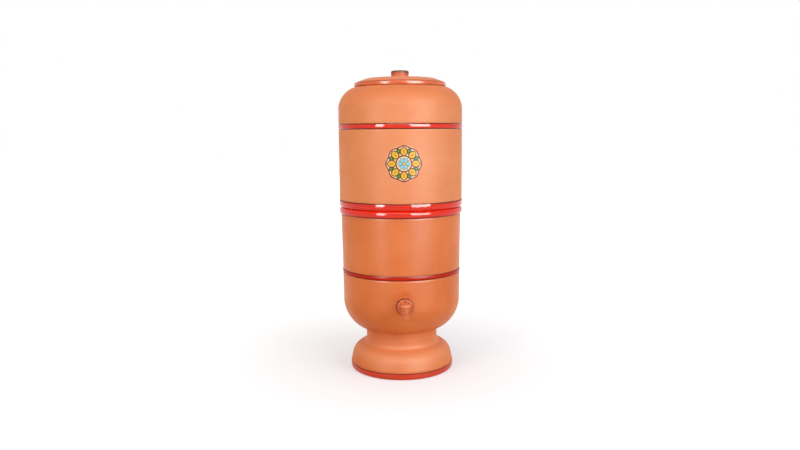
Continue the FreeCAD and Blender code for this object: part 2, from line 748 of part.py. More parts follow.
def tap_waterway():
    """What is hollow in the tap's body: the inlet, the plug's chamber and the spout."""
    chamber_radius = PLUG_RADIUS + PLUG_CLEARANCE
    chamber = rod(
        chamber_radius, Vector(0, 0, -TAP_CHAMBER_FLOOR), AXIS, TAP_CHAMBER_FLOOR + TAP_CHAMBER_TOP
    )
    spout = rod(SPOUT_BORE, Vector(0, 0, -SPOUT_DROP), AXIS, SPOUT_DROP)
    inlet = rod(TAP_BORE, Vector(0, 0, 0), Vector(0, 1, 0), TAP_REACH + TAP_STEM_LENGTH)
    return at_tap(chamber.multiFuse([spout, inlet]))


def tap_plug():
    """Turning plug: a side port that leads down its middle, grooves for two seals and a flatted neck."""
    bottom = -TAP_CHAMBER_FLOOR
    groove_floor = PLUG_RADIUS - 2 * ORING_SECTION
    neck_top = HANDLE_BOTTOM + HANDLE_GRIP
    grooves = []
    for z in (-ORING_SPACING / 2, ORING_SPACING / 2):
        grooves += [
            (PLUG_RADIUS, z - ORING_SECTION),
            (groove_floor, z - ORING_SECTION),
            (groove_floor, z + ORING_SECTION),
            (PLUG_RADIUS, z + ORING_SECTION),
        ]
    plug = turned(
        [
            (0, bottom),
            (PLUG_RADIUS, bottom),
            *grooves,
            (PLUG_RADIUS, plug_top()),
            (PLUG_NECK_RADIUS, plug_top()),
            (PLUG_NECK_RADIUS, neck_top),
            (0, neck_top),
        ]
    )
    outlet = rod(PLUG_PORT, Vector(0, 0, bottom), AXIS, -bottom)
    port = rod(PLUG_PORT, Vector(0, 0, 0), Vector(1, 0, 0), PLUG_RADIUS + CUT_PAST)
    pilot = rod(SCREW_RADIUS, Vector(0, 0, SCREW_SEAT - SCREW_LENGTH), AXIS, SCREW_LENGTH)
    return at_tap(plug.cut(outlet).cut(port).cut(pilot).cut(neck_flats(0)))


def neck_flats(clearance):
    """The two slabs cut off the plug's neck, so that the handle can't slip on it."""
    flat = PLUG_NECK_RADIUS - HANDLE_FLAT + clearance
    bottom = TAP_CHAMBER_TOP + CAP_LIP
    top = SCREW_SEAT
    reach = PLUG_NECK_RADIUS + CUT_PAST
    slabs = [
        box((-reach, low, bottom), (reach, high, top)) for low, high in ((-reach, -flat), (flat, reach))
    ]
    return Part.makeCompound(slabs)


def tap_plug_seals():
    """Two rubber rings in the plug's grooves, above and below its port."""
    middle = PLUG_RADIUS + PLUG_CLEARANCE - ORING_CLEARANCE - ORING_SECTION
    rings = [
        Part.makeTorus(middle, ORING_SECTION, Vector(0, 0, z), AXIS)
        for z in (-ORING_SPACING / 2, ORING_SPACING / 2)
    ]
    return at_tap(Part.makeCompound(rings))


def tap_cap_ring():
    """Ring screwed over the chamber's top, whose lip keeps the plug in."""
    outer = TAP_CHAMBER_RADIUS + CAP_WALL
    skirt_inner = TAP_CHAMBER_RADIUS + THREAD_CLEARANCE
    lip_inner = PLUG_NECK_RADIUS + 2 * PLUG_CLEARANCE
    top = TAP_CHAMBER_TOP + CAP_LIP
    return at_tap(
        turned(
            [
                (lip_inner, TAP_CHAMBER_TOP),
                (skirt_inner, TAP_CHAMBER_TOP),
                (skirt_inner, TAP_CHAMBER_TOP - CAP_SKIRT),
                (outer, TAP_CHAMBER_TOP - CAP_SKIRT, CAP_WALL / 2),
                (outer, top, MOULDED_FILLET),
                (lip_inner, top),
            ]
        )
    )


def tap_handle():
    """Butterfly handle: two wings on a hub, with a notch between them down to the screw's head."""
    top = HANDLE_BOTTOM + HANDLE_HEIGHT
    half_span = HANDLE_SPAN / 2
    half = HANDLE_THICKNESS / 2
    hub = tube(HANDLE_HUB_RADIUS, 0, HANDLE_BOTTOM, SCREW_SEAT, MOULDED_EDGE)
    wings = box((-half_span, -half, HANDLE_BOTTOM + MOULDED_EDGE), (half_span, half, top))
    wings = wings.makeFillet(HANDLE_END_ROUND, wings.Edges)
    notch = box((-HANDLE_NOTCH / 2, -half_span, SCREW_SEAT), (HANDLE_NOTCH / 2, half_span, top))
    neck_radius = PLUG_NECK_RADIUS + THREAD_CLEARANCE
    neck = rod(neck_radius, Vector(0, 0, HANDLE_BOTTOM), AXIS, HANDLE_GRIP + THREAD_CLEARANCE)
    keyed = neck.cut(neck_flats(THREAD_CLEARANCE))
    head = rod(SCREW_HEAD_RADIUS + SCREW_HEAD_CLEARANCE, Vector(0, 0, SCREW_SEAT), AXIS, HANDLE_HEIGHT)
    shank = rod(SCREW_RADIUS + SCREW_HEAD_CLEARANCE, Vector(0, 0, HANDLE_BOTTOM), AXIS, HANDLE_HEIGHT)
    return at_tap(hub.fuse(wings).removeSplitter().cut(notch.multiFuse([keyed, head, shank])))


def tap_handle_screw():
    """Slotted screw that holds the handle on the plug."""
    top = SCREW_SEAT + SCREW_HEAD_HEIGHT
    tip = SCREW_SEAT - SCREW_LENGTH + PILOT_DEPTH
    screw = turned(
        [
            (0, tip),
            (SCREW_RADIUS, tip, SCREW_EDGE),
            (SCREW_RADIUS, SCREW_SEAT),
            (SCREW_HEAD_RADIUS, SCREW_SEAT),
            (SCREW_HEAD_RADIUS, top, SCREW_EDGE),
            (0, top),
        ]
    )
    half = SCREW_SLOT / 2
    reach = SCREW_HEAD_RADIUS + CUT_PAST
    slot = box((-reach, -half, top - SCREW_SLOT), (reach, half, top + CUT_PAST))
    return at_tap(screw.cut(slot))


def tap_front_gasket():
    """Rubber washer between the flange and the flat outside the wall."""
    ring = tube(TAP_GASKET_RADIUS, TAP_STEM_RADIUS, tap_pad_outer(), tap_flange_face(), RUBBER_EDGE)
    ring = laid_forward(ring)
    ring.translate(Vector(0, 0, TAP_AXIS))
    return ring


def tap_back_gasket():
    """Rubber washer between the nut and the flat inside the wall."""
    inner = tap_pad_inner()
    front = inner - TAP_GASKET_THICKNESS
    ring = tube(TAP_NUT_COLLAR_RADIUS, TAP_STEM_RADIUS, front, inner, RUBBER_EDGE)
    ring = laid_forward(ring)
    ring.translate(Vector(0, 0, TAP_AXIS))
    return ring


def tap_back_nut():
    """Six-sided nut with a collar that pulls the tap against the wall from inside."""
    top = tap_pad_inner() - TAP_GASKET_THICKNESS
    bottom = top - TAP_NUT_THICKNESS
    corner_radius = TAP_NUT_ACROSS_FLATS / math.sqrt(3)
    corners = [
        Vector(corner_radius * math.cos(a), corner_radius * math.sin(a), bottom)
        for a in (math.radians(60 * k) for k in range(7))
    ]
    hexagon = Part.Face(Part.makePolygon(corners)).extrude(AXIS * TAP_NUT_THICKNESS)
    chamfered = turned(
        [
            (0, bottom),
            (TAP_NUT_ACROSS_FLATS / 2, bottom),
            (corner_radius, bottom + TAP_NUT_CHAMFER),
            (corner_radius, top),
            (0, top),
        ]
    )
    collar = rod(TAP_NUT_COLLAR_RADIUS, Vector(0, 0, top - TAP_NUT_COLLAR), AXIS, TAP_NUT_COLLAR)
    bore = rod(TAP_STEM_RADIUS + THREAD_CLEARANCE, Vector(0, 0, bottom), AXIS, TAP_NUT_THICKNESS)
    nut = hexagon.common(chamfered).fuse(collar).cut(bore).removeSplitter()
    nut = laid_forward(nut)
    nut.translate(Vector(0, 0, TAP_AXIS))
    return nut


# ---------------------------------------------------------------- output

PARTS = [
    pedestal_foot,
    lower_chamber,
    upper_chamber,
    lid,
    front_label,
    candle_base,
    candle_shell,
    candle_carbon,
    candle_gasket,
    candle_washer,
    candle_wing_nut,
    float_holder,
    float_pivot_pin,
    float_arm,
    float_body,
    float_pad,
    tap_body,
    tap_plug,
    tap_plug_seals,
    tap_cap_ring,
    tap_handle,
    tap_handle_screw,
    tap_front_gasket,
    tap_back_gasket,
    tap_back_nut,
]


def main():
    os.makedirs("parts", exist_ok=True)
    for make in PARTS:
        shape = make()
        shape.exportStep(f"parts/{make.__name__}.step")
        solids = len(shape.Solids)
        print(f"{make.__name__}: {solids} solid(s), {shape.Volume / 1000:.2f} cm3, valid {shape.isValid()}")


main()
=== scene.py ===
"""The looks of the two-chamber clay water filter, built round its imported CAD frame.

All lengths are in metres. +Z is up, the origin is the centre of the foot and the tap faces -Y.
"""

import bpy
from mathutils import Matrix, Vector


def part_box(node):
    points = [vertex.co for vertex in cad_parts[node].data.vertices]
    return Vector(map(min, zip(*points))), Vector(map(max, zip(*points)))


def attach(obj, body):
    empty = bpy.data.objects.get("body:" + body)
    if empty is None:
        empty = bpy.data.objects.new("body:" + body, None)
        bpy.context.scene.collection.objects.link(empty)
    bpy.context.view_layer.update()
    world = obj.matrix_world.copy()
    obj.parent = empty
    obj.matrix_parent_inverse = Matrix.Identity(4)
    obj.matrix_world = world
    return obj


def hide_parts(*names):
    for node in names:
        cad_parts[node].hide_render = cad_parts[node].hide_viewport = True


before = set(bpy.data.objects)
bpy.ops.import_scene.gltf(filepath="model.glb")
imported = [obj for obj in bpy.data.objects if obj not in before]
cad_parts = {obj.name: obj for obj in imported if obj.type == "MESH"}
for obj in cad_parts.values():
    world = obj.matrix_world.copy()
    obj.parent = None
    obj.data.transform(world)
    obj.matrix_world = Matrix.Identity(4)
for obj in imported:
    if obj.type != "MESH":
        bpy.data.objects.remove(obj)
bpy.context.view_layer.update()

import math
from collections import namedtuple

import bmesh
import bpy
from mathutils import Matrix, Vector, noise

MM = 0.001

# ------------------------ sizes

# Pedestal foot
FOOT_RADIUS = 91.5 * MM
FOOT_WALL = 10.0 * MM
FOOT_EDGE_ROUND = 5.0 * MM
FOOT_BAND_HEIGHT = 12.4 * MM
FOOT_BAND_STEP = 0.5 * MM
PEDESTAL_HEIGHT = 46.2 * MM
PEDESTAL_LEAN = 6.3 * MM
PEDESTAL_SHOULDER_ROUND = 22.3 * MM
PEDESTAL_SHOULDER_SLOPE = 5.4 * MM
WAIST_RADIUS = 63.3 * MM
WAIST_HEIGHT = 28.5 * MM
WAIST_FILLET = 8.0 * MM

# Lower chamber
WALL = 8.0 * MM
LOWER_RADIUS = 105.2 * MM
LOWER_TAPER = 2.6 * MM
BOWL_CURVE_HEIGHT = 51.0 * MM
BOWL_FULLNESS = 0.49
LOWER_FLOOR = 9.0 * MM
RIM_BEAD_HEIGHT = 12.0 * MM
RIM_BEAD_PROUD = 3.1 * MM
BEAD_ROUND = 5.0 * MM
LOWER_BAND_BELOW_RIM = 112.1 * MM
LOWER_BAND_HEIGHT = 8.0 * MM
LOWER_BAND_PROUD = 1.1 * MM

# Upper chamber
UPPER_RADIUS = 107.5 * MM
UPPER_FLOOR = 10.0 * MM
SPIGOT_CLEARANCE = 2.0 * MM
BASE_BEAD_HEIGHT = 12.4 * MM
BASE_BEAD_PROUD = 0.9 * MM
SHOULDER_HEIGHT = 35.2 * MM
SHOULDER_FULLNESS = 0.52
NECK_HEIGHT = 2.4 * MM
NECK_WALL = 8.5 * MM
NECK_EDGE = 0.8 * MM
MOUTH_RADIUS = 66.0 * MM
FLOOR_CURVE_WIDTH = 24.5 * MM
FLOOR_CURVE_HEIGHT = 25.0 * MM
FLOOR_FULLNESS = 0.35
CANDLE_HOLE_RADIUS = 6.5 * MM
UPPER_BAND_ABOVE_SEAT = 138.2 * MM
UPPER_BAND_HEIGHT = 9.6 * MM
UPPER_BAND_PROUD = 1.4 * MM

# Lid with its knob
LID_RADIUS = 79.6 * MM
LID_EDGE = 6.6 * MM
LID_EDGE_ROUND = 4.0 * MM
LID_LOWER_EDGE = 1.2 * MM
LID_SLOPE_WIDTH = 20.0 * MM
LID_SLOPE_HEIGHT = 7.3 * MM
LID_SLOPE_ROUND = 16.0 * MM
LID_DOME = 2.2 * MM
LID_WALL = 8.0 * MM
LID_RING_DEPTH = 8.0 * MM
LID_RING_WALL = 7.0 * MM
LID_RING_CLEARANCE = 1.5 * MM
KNOB_RADIUS = 16.0 * MM
KNOB_WAIST = 1.2 * MM
KNOB_ROUND = 3.2 * MM
KNOB_FILLET = 2.5 * MM

# Label and tap
LABEL_RADIUS = 30.0 * MM
LABEL_ABOVE_SEAT = 78.0 * MM
LABEL_THICKNESS = 0.25 * MM
LABEL_EDGE_THICKNESS = 0.10 * MM
LABEL_GLUE = 0.05 * MM
TAP_PAD_RADIUS = 17.0 * MM
PAD_FADE = 8.0 * MM
TAP_HOLE_RADIUS = 9.0 * MM

# Roundings that the clay pieces share
CLAY_EDGE = 2.0 * MM
CLAY_FILLET = 4.0 * MM
GROOVE = 0.8 * MM

# How far in from its wall's face the paint of each band reaches, and the glaze's rise on the lid
RIM_PAINT_DEPTH = 2.0 * MM
LOWER_BAND_PAINT_DEPTH = 5.0 * MM
FOOT_PAINT_DEPTH = 4.0 * MM
UPPER_PAINT_DEPTH = 3.0 * MM
LID_GLAZE_DEPTH = 5.0 * MM
LID_GLAZE_RISE = 0.5 * MM

# Unevenness of hand-turned clay: how far its waves and its finer ridges stand off, and how quickly
# they change round the wall and up it
WAVE = 0.22 * MM
WAVE_ROUND = 1.3
WAVE_UP = 9.0
RIDGE = 0.06 * MM
RIDGE_ROUND = 0.5
RIDGE_UP = 130.0
STEADY_RADIUS = 40.0 * MM

# Where each chamber and the lid read the unevenness, so that no two of them are alike
LOWER_SHIFT = 0.0
UPPER_SHIFT = 0.5
LID_SHIFT = 1.0

# Heights that the frame gives, and how far from the axis the tap's pads lie
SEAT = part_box("lower_chamber")[1].z
UPPER_FLOOR_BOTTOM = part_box("upper_chamber")[0].z
LID_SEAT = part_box("upper_chamber")[1].z
KNOB_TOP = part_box("lid")[1].z
TAP_AXIS = (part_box("tap_front_gasket")[0].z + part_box("tap_front_gasket")[1].z) / 2
TAP_PAD = -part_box("tap_front_gasket")[1].y
TAP_BACK_PAD = -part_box("tap_back_gasket")[0].y

# Heights and radii that follow
BOWL_BOTTOM = PEDESTAL_HEIGHT + WAIST_HEIGHT
BOWL_CURVE_TOP = BOWL_BOTTOM + BOWL_CURVE_HEIGHT
LOWER_FLOOR_TOP = BOWL_BOTTOM + LOWER_FLOOR
RIM_BEAD_BOTTOM = SEAT - RIM_BEAD_HEIGHT
LOWER_MOUTH_RADIUS = LOWER_RADIUS - WALL
LOWER_BAND = SEAT - LOWER_BAND_BELOW_RIM
UPPER_BAND = SEAT + UPPER_BAND_ABOVE_SEAT
SHOULDER_TOP = LID_SEAT - NECK_HEIGHT
UPPER_FLOOR_TOP = UPPER_FLOOR_BOTTOM + UPPER_FLOOR
LABEL_HEIGHT = SEAT + LABEL_ABOVE_SEAT
CROWN = LID_SEAT + LID_EDGE + LID_SLOPE_HEIGHT + LID_DOME

# ------------------------ shader building


class Shader:
    """Builds the nodes of a material or of the world. Most methods add a node and return its
    output."""

    def __init__(self, owner, output_kind):
        owner.use_nodes = True
        self.tree = owner.node_tree
        self.tree.nodes.clear()
        self.output = self.tree.nodes.new(output_kind)

    def link(self, source, target):
        self.tree.links.new(source, target)

    def put(self, socket, value):
        """Sets a socket from a number or a colour, or links it from another node's output."""
        if isinstance(value, bpy.types.NodeSocket):
            self.link(value, socket)
        elif socket.type == "RGBA":
            socket.default_value = (*value, 1)
        else:
            socket.default_value = value

    def node(self, kind, **inputs):
        """Adds a node and returns it. An underscore in an input's name stands for a space."""
        made = self.tree.nodes.new(kind)
        for name, value in inputs.items():
            self.put(made.inputs[name.replace("_", " ")], value)
        return made

    def place(self, stretch=(1, 1, 1)):
        """The rest position of a point, in metres, times a stretch along each axis."""
        coordinates = self.node("ShaderNodeTexCoord").outputs["Object"]
        if stretch == (1, 1, 1):
            return coordinates
        scaled = self.node("ShaderNodeVectorMath")
        scaled.operation = "MULTIPLY"
        self.link(coordinates, scaled.inputs[0])
        scaled.inputs[1].default_value = stretch
        return scaled.outputs["Vector"]

    def split(self, vector):
        return self.node("ShaderNodeSeparateXYZ", Vector=vector).outputs

    def from_axis(self):
        """Distance of a point from the pot's axis."""
        made = self.node("ShaderNodeVectorMath")
        made.operation = "LENGTH"
        self.link(self.place((1, 1, 0)), made.inputs[0])
        return made.outputs["Value"]

    def noise(self, where, scale, detail=2.0, roughness=0.5, distortion=0.0):
        """Soft clouds, 0 to 1."""
        made = self.node(
            "ShaderNodeTexNoise", Vector=where, Scale=scale, Detail=detail, Roughness=roughness,
            Distortion=distortion,
        )
        return made.outputs["Fac"]

    def grains(self, where, scale):
        """Distance to the nearest of many scattered points, for specks and pores."""
        return self.node("ShaderNodeTexVoronoi", Vector=where, Scale=scale).outputs["Distance"]

    def math(self, operation, a, b=0.0, c=0.0):
        made = self.node("ShaderNodeMath")
        made.operation = operation
        for socket, value in zip(made.inputs, (a, b, c)):
            self.put(socket, value)
        return made.outputs["Value"]

    def range(self, value, low, high, to_low=0.0, to_high=1.0):
        """Maps low..high to to_low..to_high, clamped."""
        made = self.node(
            "ShaderNodeMapRange", Value=value, From_Min=low, From_Max=high, To_Min=to_low,
            To_Max=to_high,
        )
        return made.outputs["Result"]

    def mix(self, share, a, b, kind="RGBA"):
        """From a to b as share goes from 0 to 1: colours, or numbers where kind is FLOAT."""
        made = self.node("ShaderNodeMix")
        made.data_type = kind
        for name, value in (("Factor", share), ("A", a), ("B", b)):
            self.put(next(i for i in made.inputs if i.name == name and i.enabled), value)
        return next(o for o in made.outputs if o.enabled)

    def ramp(self, share, stops):
        """A colour ramp through (position, colour) stops."""
        made = self.node("ShaderNodeValToRGB", Fac=share)
        elements = made.color_ramp.elements
        while len(elements) < len(stops):
            elements.new(1.0)
        for element, (position, colour) in zip(elements, stops):
            element.position = position
            element.color = (*colour, 1)
        return made.outputs["Color"]

    def bump(self, height, depth, strength):
        """Tilts the surface as if height, 0 to 1, stood up by depth metres, by strength, 0 to 1."""
        made = self.node("ShaderNodeBump", Height=height, Strength=strength, Distance=depth)
        return made.outputs["Normal"]

    def seen_as_background(self):
        """1 for a ray from the camera, or one mirrored or bent by the object, and 0 for light."""
        path = self.node("ShaderNodeLightPath").outputs
        seen = self.math("MAXIMUM", path["Is Camera Ray"], path["Is Glossy Ray"])
        return self.math("MAXIMUM", seen, path["Is Transmission Ray"])


class Paint(Shader):
    """Builds the nodes of a new material."""

    def __init__(self, name):
        self.material = bpy.data.materials.new(name)
        super().__init__(self.material, "ShaderNodeOutputMaterial")

    def principled(self, **inputs):
        """Gives the material its surface, and returns the material."""
        surface = self.node("ShaderNodeBsdfPrincipled", **inputs)
        self.link(surface.outputs["BSDF"], self.output.inputs["Surface"])
        return self.material


def srgb(red, green, blue):
    """A colour from 0..255 display values to the linear values that shaders take."""
    return tuple(
        c / 12.92 if c <= 0.04045 else ((c + 0.055) / 1.055) ** 2.4
        for c in (red / 255, green / 255, blue / 255)
    )


# ------------------------ camera, light and floor

# The camera as fitted to the photo. Its turn is round the pot and its yaw is off the axis
CAMERA_DISTANCE = 1.2506
CAMERA_HEIGHT = 0.4179
CAMERA_PITCH = math.radians(7.39)
CAMERA_TURN = math.radians(2.9)
CAMERA_YAW = math.radians(0.08)
CAMERA_ROLL = math.radians(0.45)
CAMERA_LENS_MM = 31.86
SENSOR_WIDTH_MM = 36.0

# Where the lamps stand and how large their faces are. Azimuth 0 is the camera's
POT_MIDDLE = 0.28
SOFTBOX_DISTANCE = 1.8
SOFTBOX_TALL = 1.5
SHINE_HEIGHT = 0.82
LEFT_AZIMUTH = math.radians(-37)
LEFT_WIDTH = 0.50
RIGHT_AZIMUTH = math.radians(36.5)
RIGHT_LIGHT_AZIMUTH = math.radians(46)
RIGHT_WIDTH = 1.20
WHITE = (1.0, 1.0, 1.0)
WARM = (1.0, 0.85, 0.68)
COOL = (1.0, 1.03, 1.20)

# The surround as light, and the floor as light and as it is seen. Its glow is weaker near the pot,
# a painted shadow round its foot, and rises out to where all is white
SURROUND_LIGHT = (0.47, 0.46, 0.46)
FLOOR_REACH = 6.0
FLOOR_LIGHT = (0.62, 0.62, 0.62)
FLOOR_SEEN = (0.58, 0.58, 0.59)
PAINTED_SHADOW_REACH = 0.1
PAINTED_SHADOW_GLOW = 0.46
WHITE_REACH = 1.0


def make_camera():
    """The camera in front of the tap, a little to the left and looking slightly down."""
    data = bpy.data.cameras.new("camera")
    data.lens = CAMERA_LENS_MM
    data.sensor_width = SENSOR_WIDTH_MM
    camera = bpy.data.objects.new("camera", data)
    bpy.context.scene.collection.objects.link(camera)
    heading = CAMERA_TURN - CAMERA_YAW
    level = Vector((math.sin(heading), math.cos(heading), 0))
    forward = level * math.cos(CAMERA_PITCH) - Vector((0, 0, math.sin(CAMERA_PITCH)))
    right = forward.cross(Vector((0, 0, 1))).normalized()
    up = right.cross(forward)
    rolled_right = right * math.cos(CAMERA_ROLL) - up * math.sin(CAMERA_ROLL)
    rolled_up = up * math.cos(CAMERA_ROLL) + right * math.sin(CAMERA_ROLL)
    turn = Matrix((rolled_right, rolled_up, -forward)).transposed()
    place = Vector((-math.sin(CAMERA_TURN), -math.cos(CAMERA_TURN), 0)) * CAMERA_DISTANCE
    place.z = CAMERA_HEIGHT
    camera.matrix_world = Matrix.Translation(place) @ turn.to_4x4()
    bpy.context.scene.camera = camera


def softbox(name, seen_by, azimuth, distance, height, width, tall, strength, tint=WHITE):
    """A rectangular lamp that faces the middle of the pot. Azimuth 0 is in front of the tap and
    positive to the right. strength is the brightness of its face, where 1 is white. seen_by is the
    kind of ray that it lights, so that the shine and the plain light are set apart."""
    data = bpy.data.lights.new(name, "AREA")
    data.shape = "RECTANGLE"
    data.size = width
    data.size_y = tall
    data.energy = strength * math.pi * width * tall
    data.color = tint
    lamp = bpy.data.objects.new(name, data)
    bpy.context.scene.collection.objects.link(lamp)
    place = Vector((math.sin(azimuth), -math.cos(azimuth), 0)) * distance
    place.z = height
    turn = (Vector((0, 0, POT_MIDDLE)) - place).to_track_quat("-Z", "Y").to_matrix()
    lamp.matrix_world = Matrix.Translation(place) @ turn.to_4x4()
    lamp.visible_camera = False
    lamp.visible_diffuse = seen_by == "diffuse"
    lamp.visible_glossy = seen_by == "glossy"


def make_lights():
    """Two tall softboxes in front and a large soft lamp overhead. Each has one lamp for its shine
    and one for its light."""
    tall_box = {"distance": SOFTBOX_DISTANCE, "tall": SOFTBOX_TALL}
    left = {"azimuth": LEFT_AZIMUTH - CAMERA_TURN, "width": LEFT_WIDTH, **tall_box}
    right = {"azimuth": RIGHT_AZIMUTH - CAMERA_TURN, "width": RIGHT_WIDTH, **tall_box}
    right_light = {**right, "azimuth": RIGHT_LIGHT_AZIMUTH - CAMERA_TURN}
    top = {"azimuth": 0.0, "distance": 1.3, "height": 1.75, "width": 1.5, "tall": 0.7}
    top_light = {"azimuth": 0.0, "distance": 0.9, "height": 2.1, "width": 1.6, "tall": 1.6}
    softbox("shine_left", "glossy", strength=31.0, height=SHINE_HEIGHT, **left)
    softbox("shine_right", "glossy", strength=27.0, height=SHINE_HEIGHT, **right)
    softbox("shine_top", "glossy", strength=6.0, **top)
    softbox("light_left", "diffuse", strength=3.9, height=1.10, tint=WARM, **left)
    softbox("light_right", "diffuse", strength=2.05, height=0.75, tint=COOL, **right_light)
    softbox("light_top", "diffuse", strength=1.05, **top_light)


def make_world():
    """White to the camera and in reflections, and a dimmer even grey as light."""
    world = bpy.data.worlds.new("surround")
    bpy.context.scene.world = world
    s = Shader(world, "ShaderNodeOutputWorld")
    tone = s.mix(s.seen_as_background(), SURROUND_LIGHT, WHITE)
    background = s.node("ShaderNodeBackground", Color=tone)
    s.link(background.outputs["Background"], s.output.inputs["Surface"])


def make_floor():
    """A pale floor that is white to the camera where it is lit and keeps the pot's shadow, deepened
    near the foot by a painted shadow.
    """
    mesh = bpy.data.meshes.new("floor")
    side = FLOOR_REACH
    corners = [(-side, -side, 0), (side, -side, 0), (side, side, 0), (-side, side, 0)]
    mesh.from_pydata(corners, [], [(0, 1, 2, 3)])
    floor = bpy.data.objects.new("floor", mesh)
    bpy.context.scene.collection.objects.link(floor)
    s = Paint("floor_paint")
    plain = s.node("ShaderNodeBsdfDiffuse", Color=FLOOR_LIGHT)
    pale = s.node("ShaderNodeBsdfDiffuse", Color=FLOOR_SEEN)
    # Painted shadow: the glow is weaker near the pot
    whiteness = s.range(s.from_axis(), PAINTED_SHADOW_REACH, WHITE_REACH, PAINTED_SHADOW_GLOW, 1.0)
    glow = s.node("ShaderNodeEmission", Color=WHITE, Strength=whiteness)
    lit = s.node("ShaderNodeAddShader")
    s.link(pale.outputs["BSDF"], lit.inputs[0])
    s.link(glow.outputs["Emission"], lit.inputs[1])
    pick = s.node("ShaderNodeMixShader")
    s.link(s.seen_as_background(), pick.inputs["Fac"])
    s.link(plain.outputs["BSDF"], pick.inputs[1])
    s.link(lit.outputs["Shader"], pick.inputs[2])
    s.link(pick.outputs["Shader"], s.output.inputs["Surface"])
    mesh.materials.append(s.material)


# ------------------------ materials

# Most values of a noise lie between these
NOISE_SPREAD = (0.3, 0.7)

# Pale, middle and dark tones of each clay piece
LOWER_TONES = (srgb(243, 140, 76), srgb(236, 128, 64), srgb(224, 112, 50))
UPPER_TONES = (srgb(249, 162, 108), srgb(244, 150, 94), srgb(236, 138, 82))
LID_TONES = (srgb(242, 146, 96), srgb(232, 130, 80), srgb(216, 112, 62))

# Specks and grog in the clay, the darker tones of the knob, the paler tone painted as light up the
# pedestal and the deeper tone painted as shade up the shoulder
SPECK_TONE = srgb(130, 62, 34)
GROG_TONE = srgb(252, 206, 168)
KNOB_DARK_TONE = srgb(150, 70, 44)
KNOB_CAP_TONE = srgb(96, 60, 46)
PEDESTAL_PAINTED_LIGHT = srgb(250, 176, 126)
SHOULDER_SHADE_TONE = srgb(222, 118, 70)

# How much of those tones there is at most, and where they run out
KNOB_DARK_SHARE = 0.42
KNOB_DARK_FROM = 1.0 * MM
KNOB_DARK_TO = 4.0 * MM
KNOB_CAP_DEPTH = 5.0 * MM
KNOB_CAP_FADE = 2.2 * MM
KNOB_CAP_SMUDGE = 1.5 * MM
PEDESTAL_LIGHT_SHARE = 0.36
PEDESTAL_LIGHT_BELOW_TOP = 8.0 * MM
SHOULDER_SHADE_SHARE = 0.55
SHOULDER_SHADE_BELOW_TOP = 6.0 * MM
SHOULDER_SHADE_FADE = 1.0 * MM

# Deep, plain and bright tones of the enamel, and of the dark line along its edge, partly thin
# enamel and partly painted shade of the grooves. The low band has the worn enamel, which is duller
ENAMEL = (srgb(222, 26, 0), srgb(246, 36, 0), srgb(252, 58, 8), srgb(84, 18, 0))
WORN_LINE = srgb(132, 34, 4)
WORN_ENAMEL = (srgb(180, 22, 0), srgb(202, 30, 0), srgb(220, 46, 6), WORN_LINE)
LID_GLAZE = (srgb(212, 98, 54), srgb(226, 116, 68), srgb(236, 132, 82), srgb(196, 92, 54))
SCUFFED_TONE = srgb(196, 84, 36)

# Lowest and highest roughness, and how much a surface mirrors
LOWER_SHINE = (0.33, 0.43, 0.17)
UPPER_SHINE = (0.46, 0.56, 0.12)
LID_SHINE = (0.38, 0.50, 0.12)
ENAMEL_SHINE = (0.04, 0.08, 0.30)
WORN_SHINE = (0.20, 0.30, 0.08)
LID_GLAZE_SHINE = (0.18, 0.28, 0.24)

# How far the enamel runs out beyond the foot of its bead and wanders there, how soon it fades, and
# from where to where its dark edge, partly painted shade of the groove, goes over into the full
# coat
STRAY_PAINT = 0.2 * MM
BRUSH_WANDER = 0.5 * MM
PAINT_FADE = 0.3 * MM
PAINT_DEPTH_FADE = 0.2 * MM
DARK_EDGE_WIDTH = 2.0 * MM
DARKEST_EDGE_WIDTH = 1.2 * MM

# A band of enamel: from where to where up the pot, how near to the axis, and whether it is worn
Band = namedtuple("Band", "low high inner_radius worn", defaults=[False])


def clay_colour(s, where, pale, middle, dark):
    """Fired clay: soft clouds of tone, faint rings from turning, and fine pale and dark specks.
    Returns the colour and the rings."""
    clouds = s.noise(where, scale=9.0, detail=3.0, roughness=0.55)
    body = s.ramp(clouds, [(0.30, dark), (0.52, middle), (0.74, pale)])
    rings = s.noise(s.place((6, 6, 420)), scale=1.0, detail=3.0, roughness=0.6)
    body = s.mix(s.range(rings, 0.25, 0.75, 0.0, 0.22), body, dark)
    mottle = s.noise(where, scale=160.0, detail=3.0, roughness=0.65)
    body = s.mix(s.range(mottle, 0.42, 0.72, 0.0, 0.16), body, pale)
    specks = s.range(s.grains(where, 620.0), 0.06, 0.16, 0.5, 0.0)
    chosen = s.range(s.noise(where, scale=240.0, detail=1.0), 0.56, 0.64)
    body = s.mix(s.math("MULTIPLY", specks, chosen), body, SPECK_TONE)
    grog = s.range(s.grains(where, 410.0), 0.05, 0.13, 0.35, 0.0)
    return s.mix(grog, body, GROG_TONE), rings


def darkened_knob(s, where, height, body):
    """Darker clay on the knob, and a brown cap over its top with a smudged edge."""
    knob_darkening = s.range(height, CROWN + KNOB_DARK_FROM, CROWN + KNOB_DARK_TO, 0.0, KNOB_DARK_SHARE)
    body = s.mix(knob_darkening, body, KNOB_DARK_TONE)
    smudge = s.noise(where, scale=70.0, detail=4.0, roughness=0.6)
    wander = s.range(smudge, 0.2, 0.8, -KNOB_CAP_SMUDGE, KNOB_CAP_SMUDGE)
    edge = KNOB_TOP - KNOB_CAP_DEPTH
    capped = s.range(s.math("ADD", height, wander), edge, edge + KNOB_CAP_FADE)
    capped = s.math("MULTIPLY", capped, s.range(smudge, *NOISE_SPREAD, 0.72, 0.92))
    return s.mix(capped, body, KNOB_CAP_TONE)


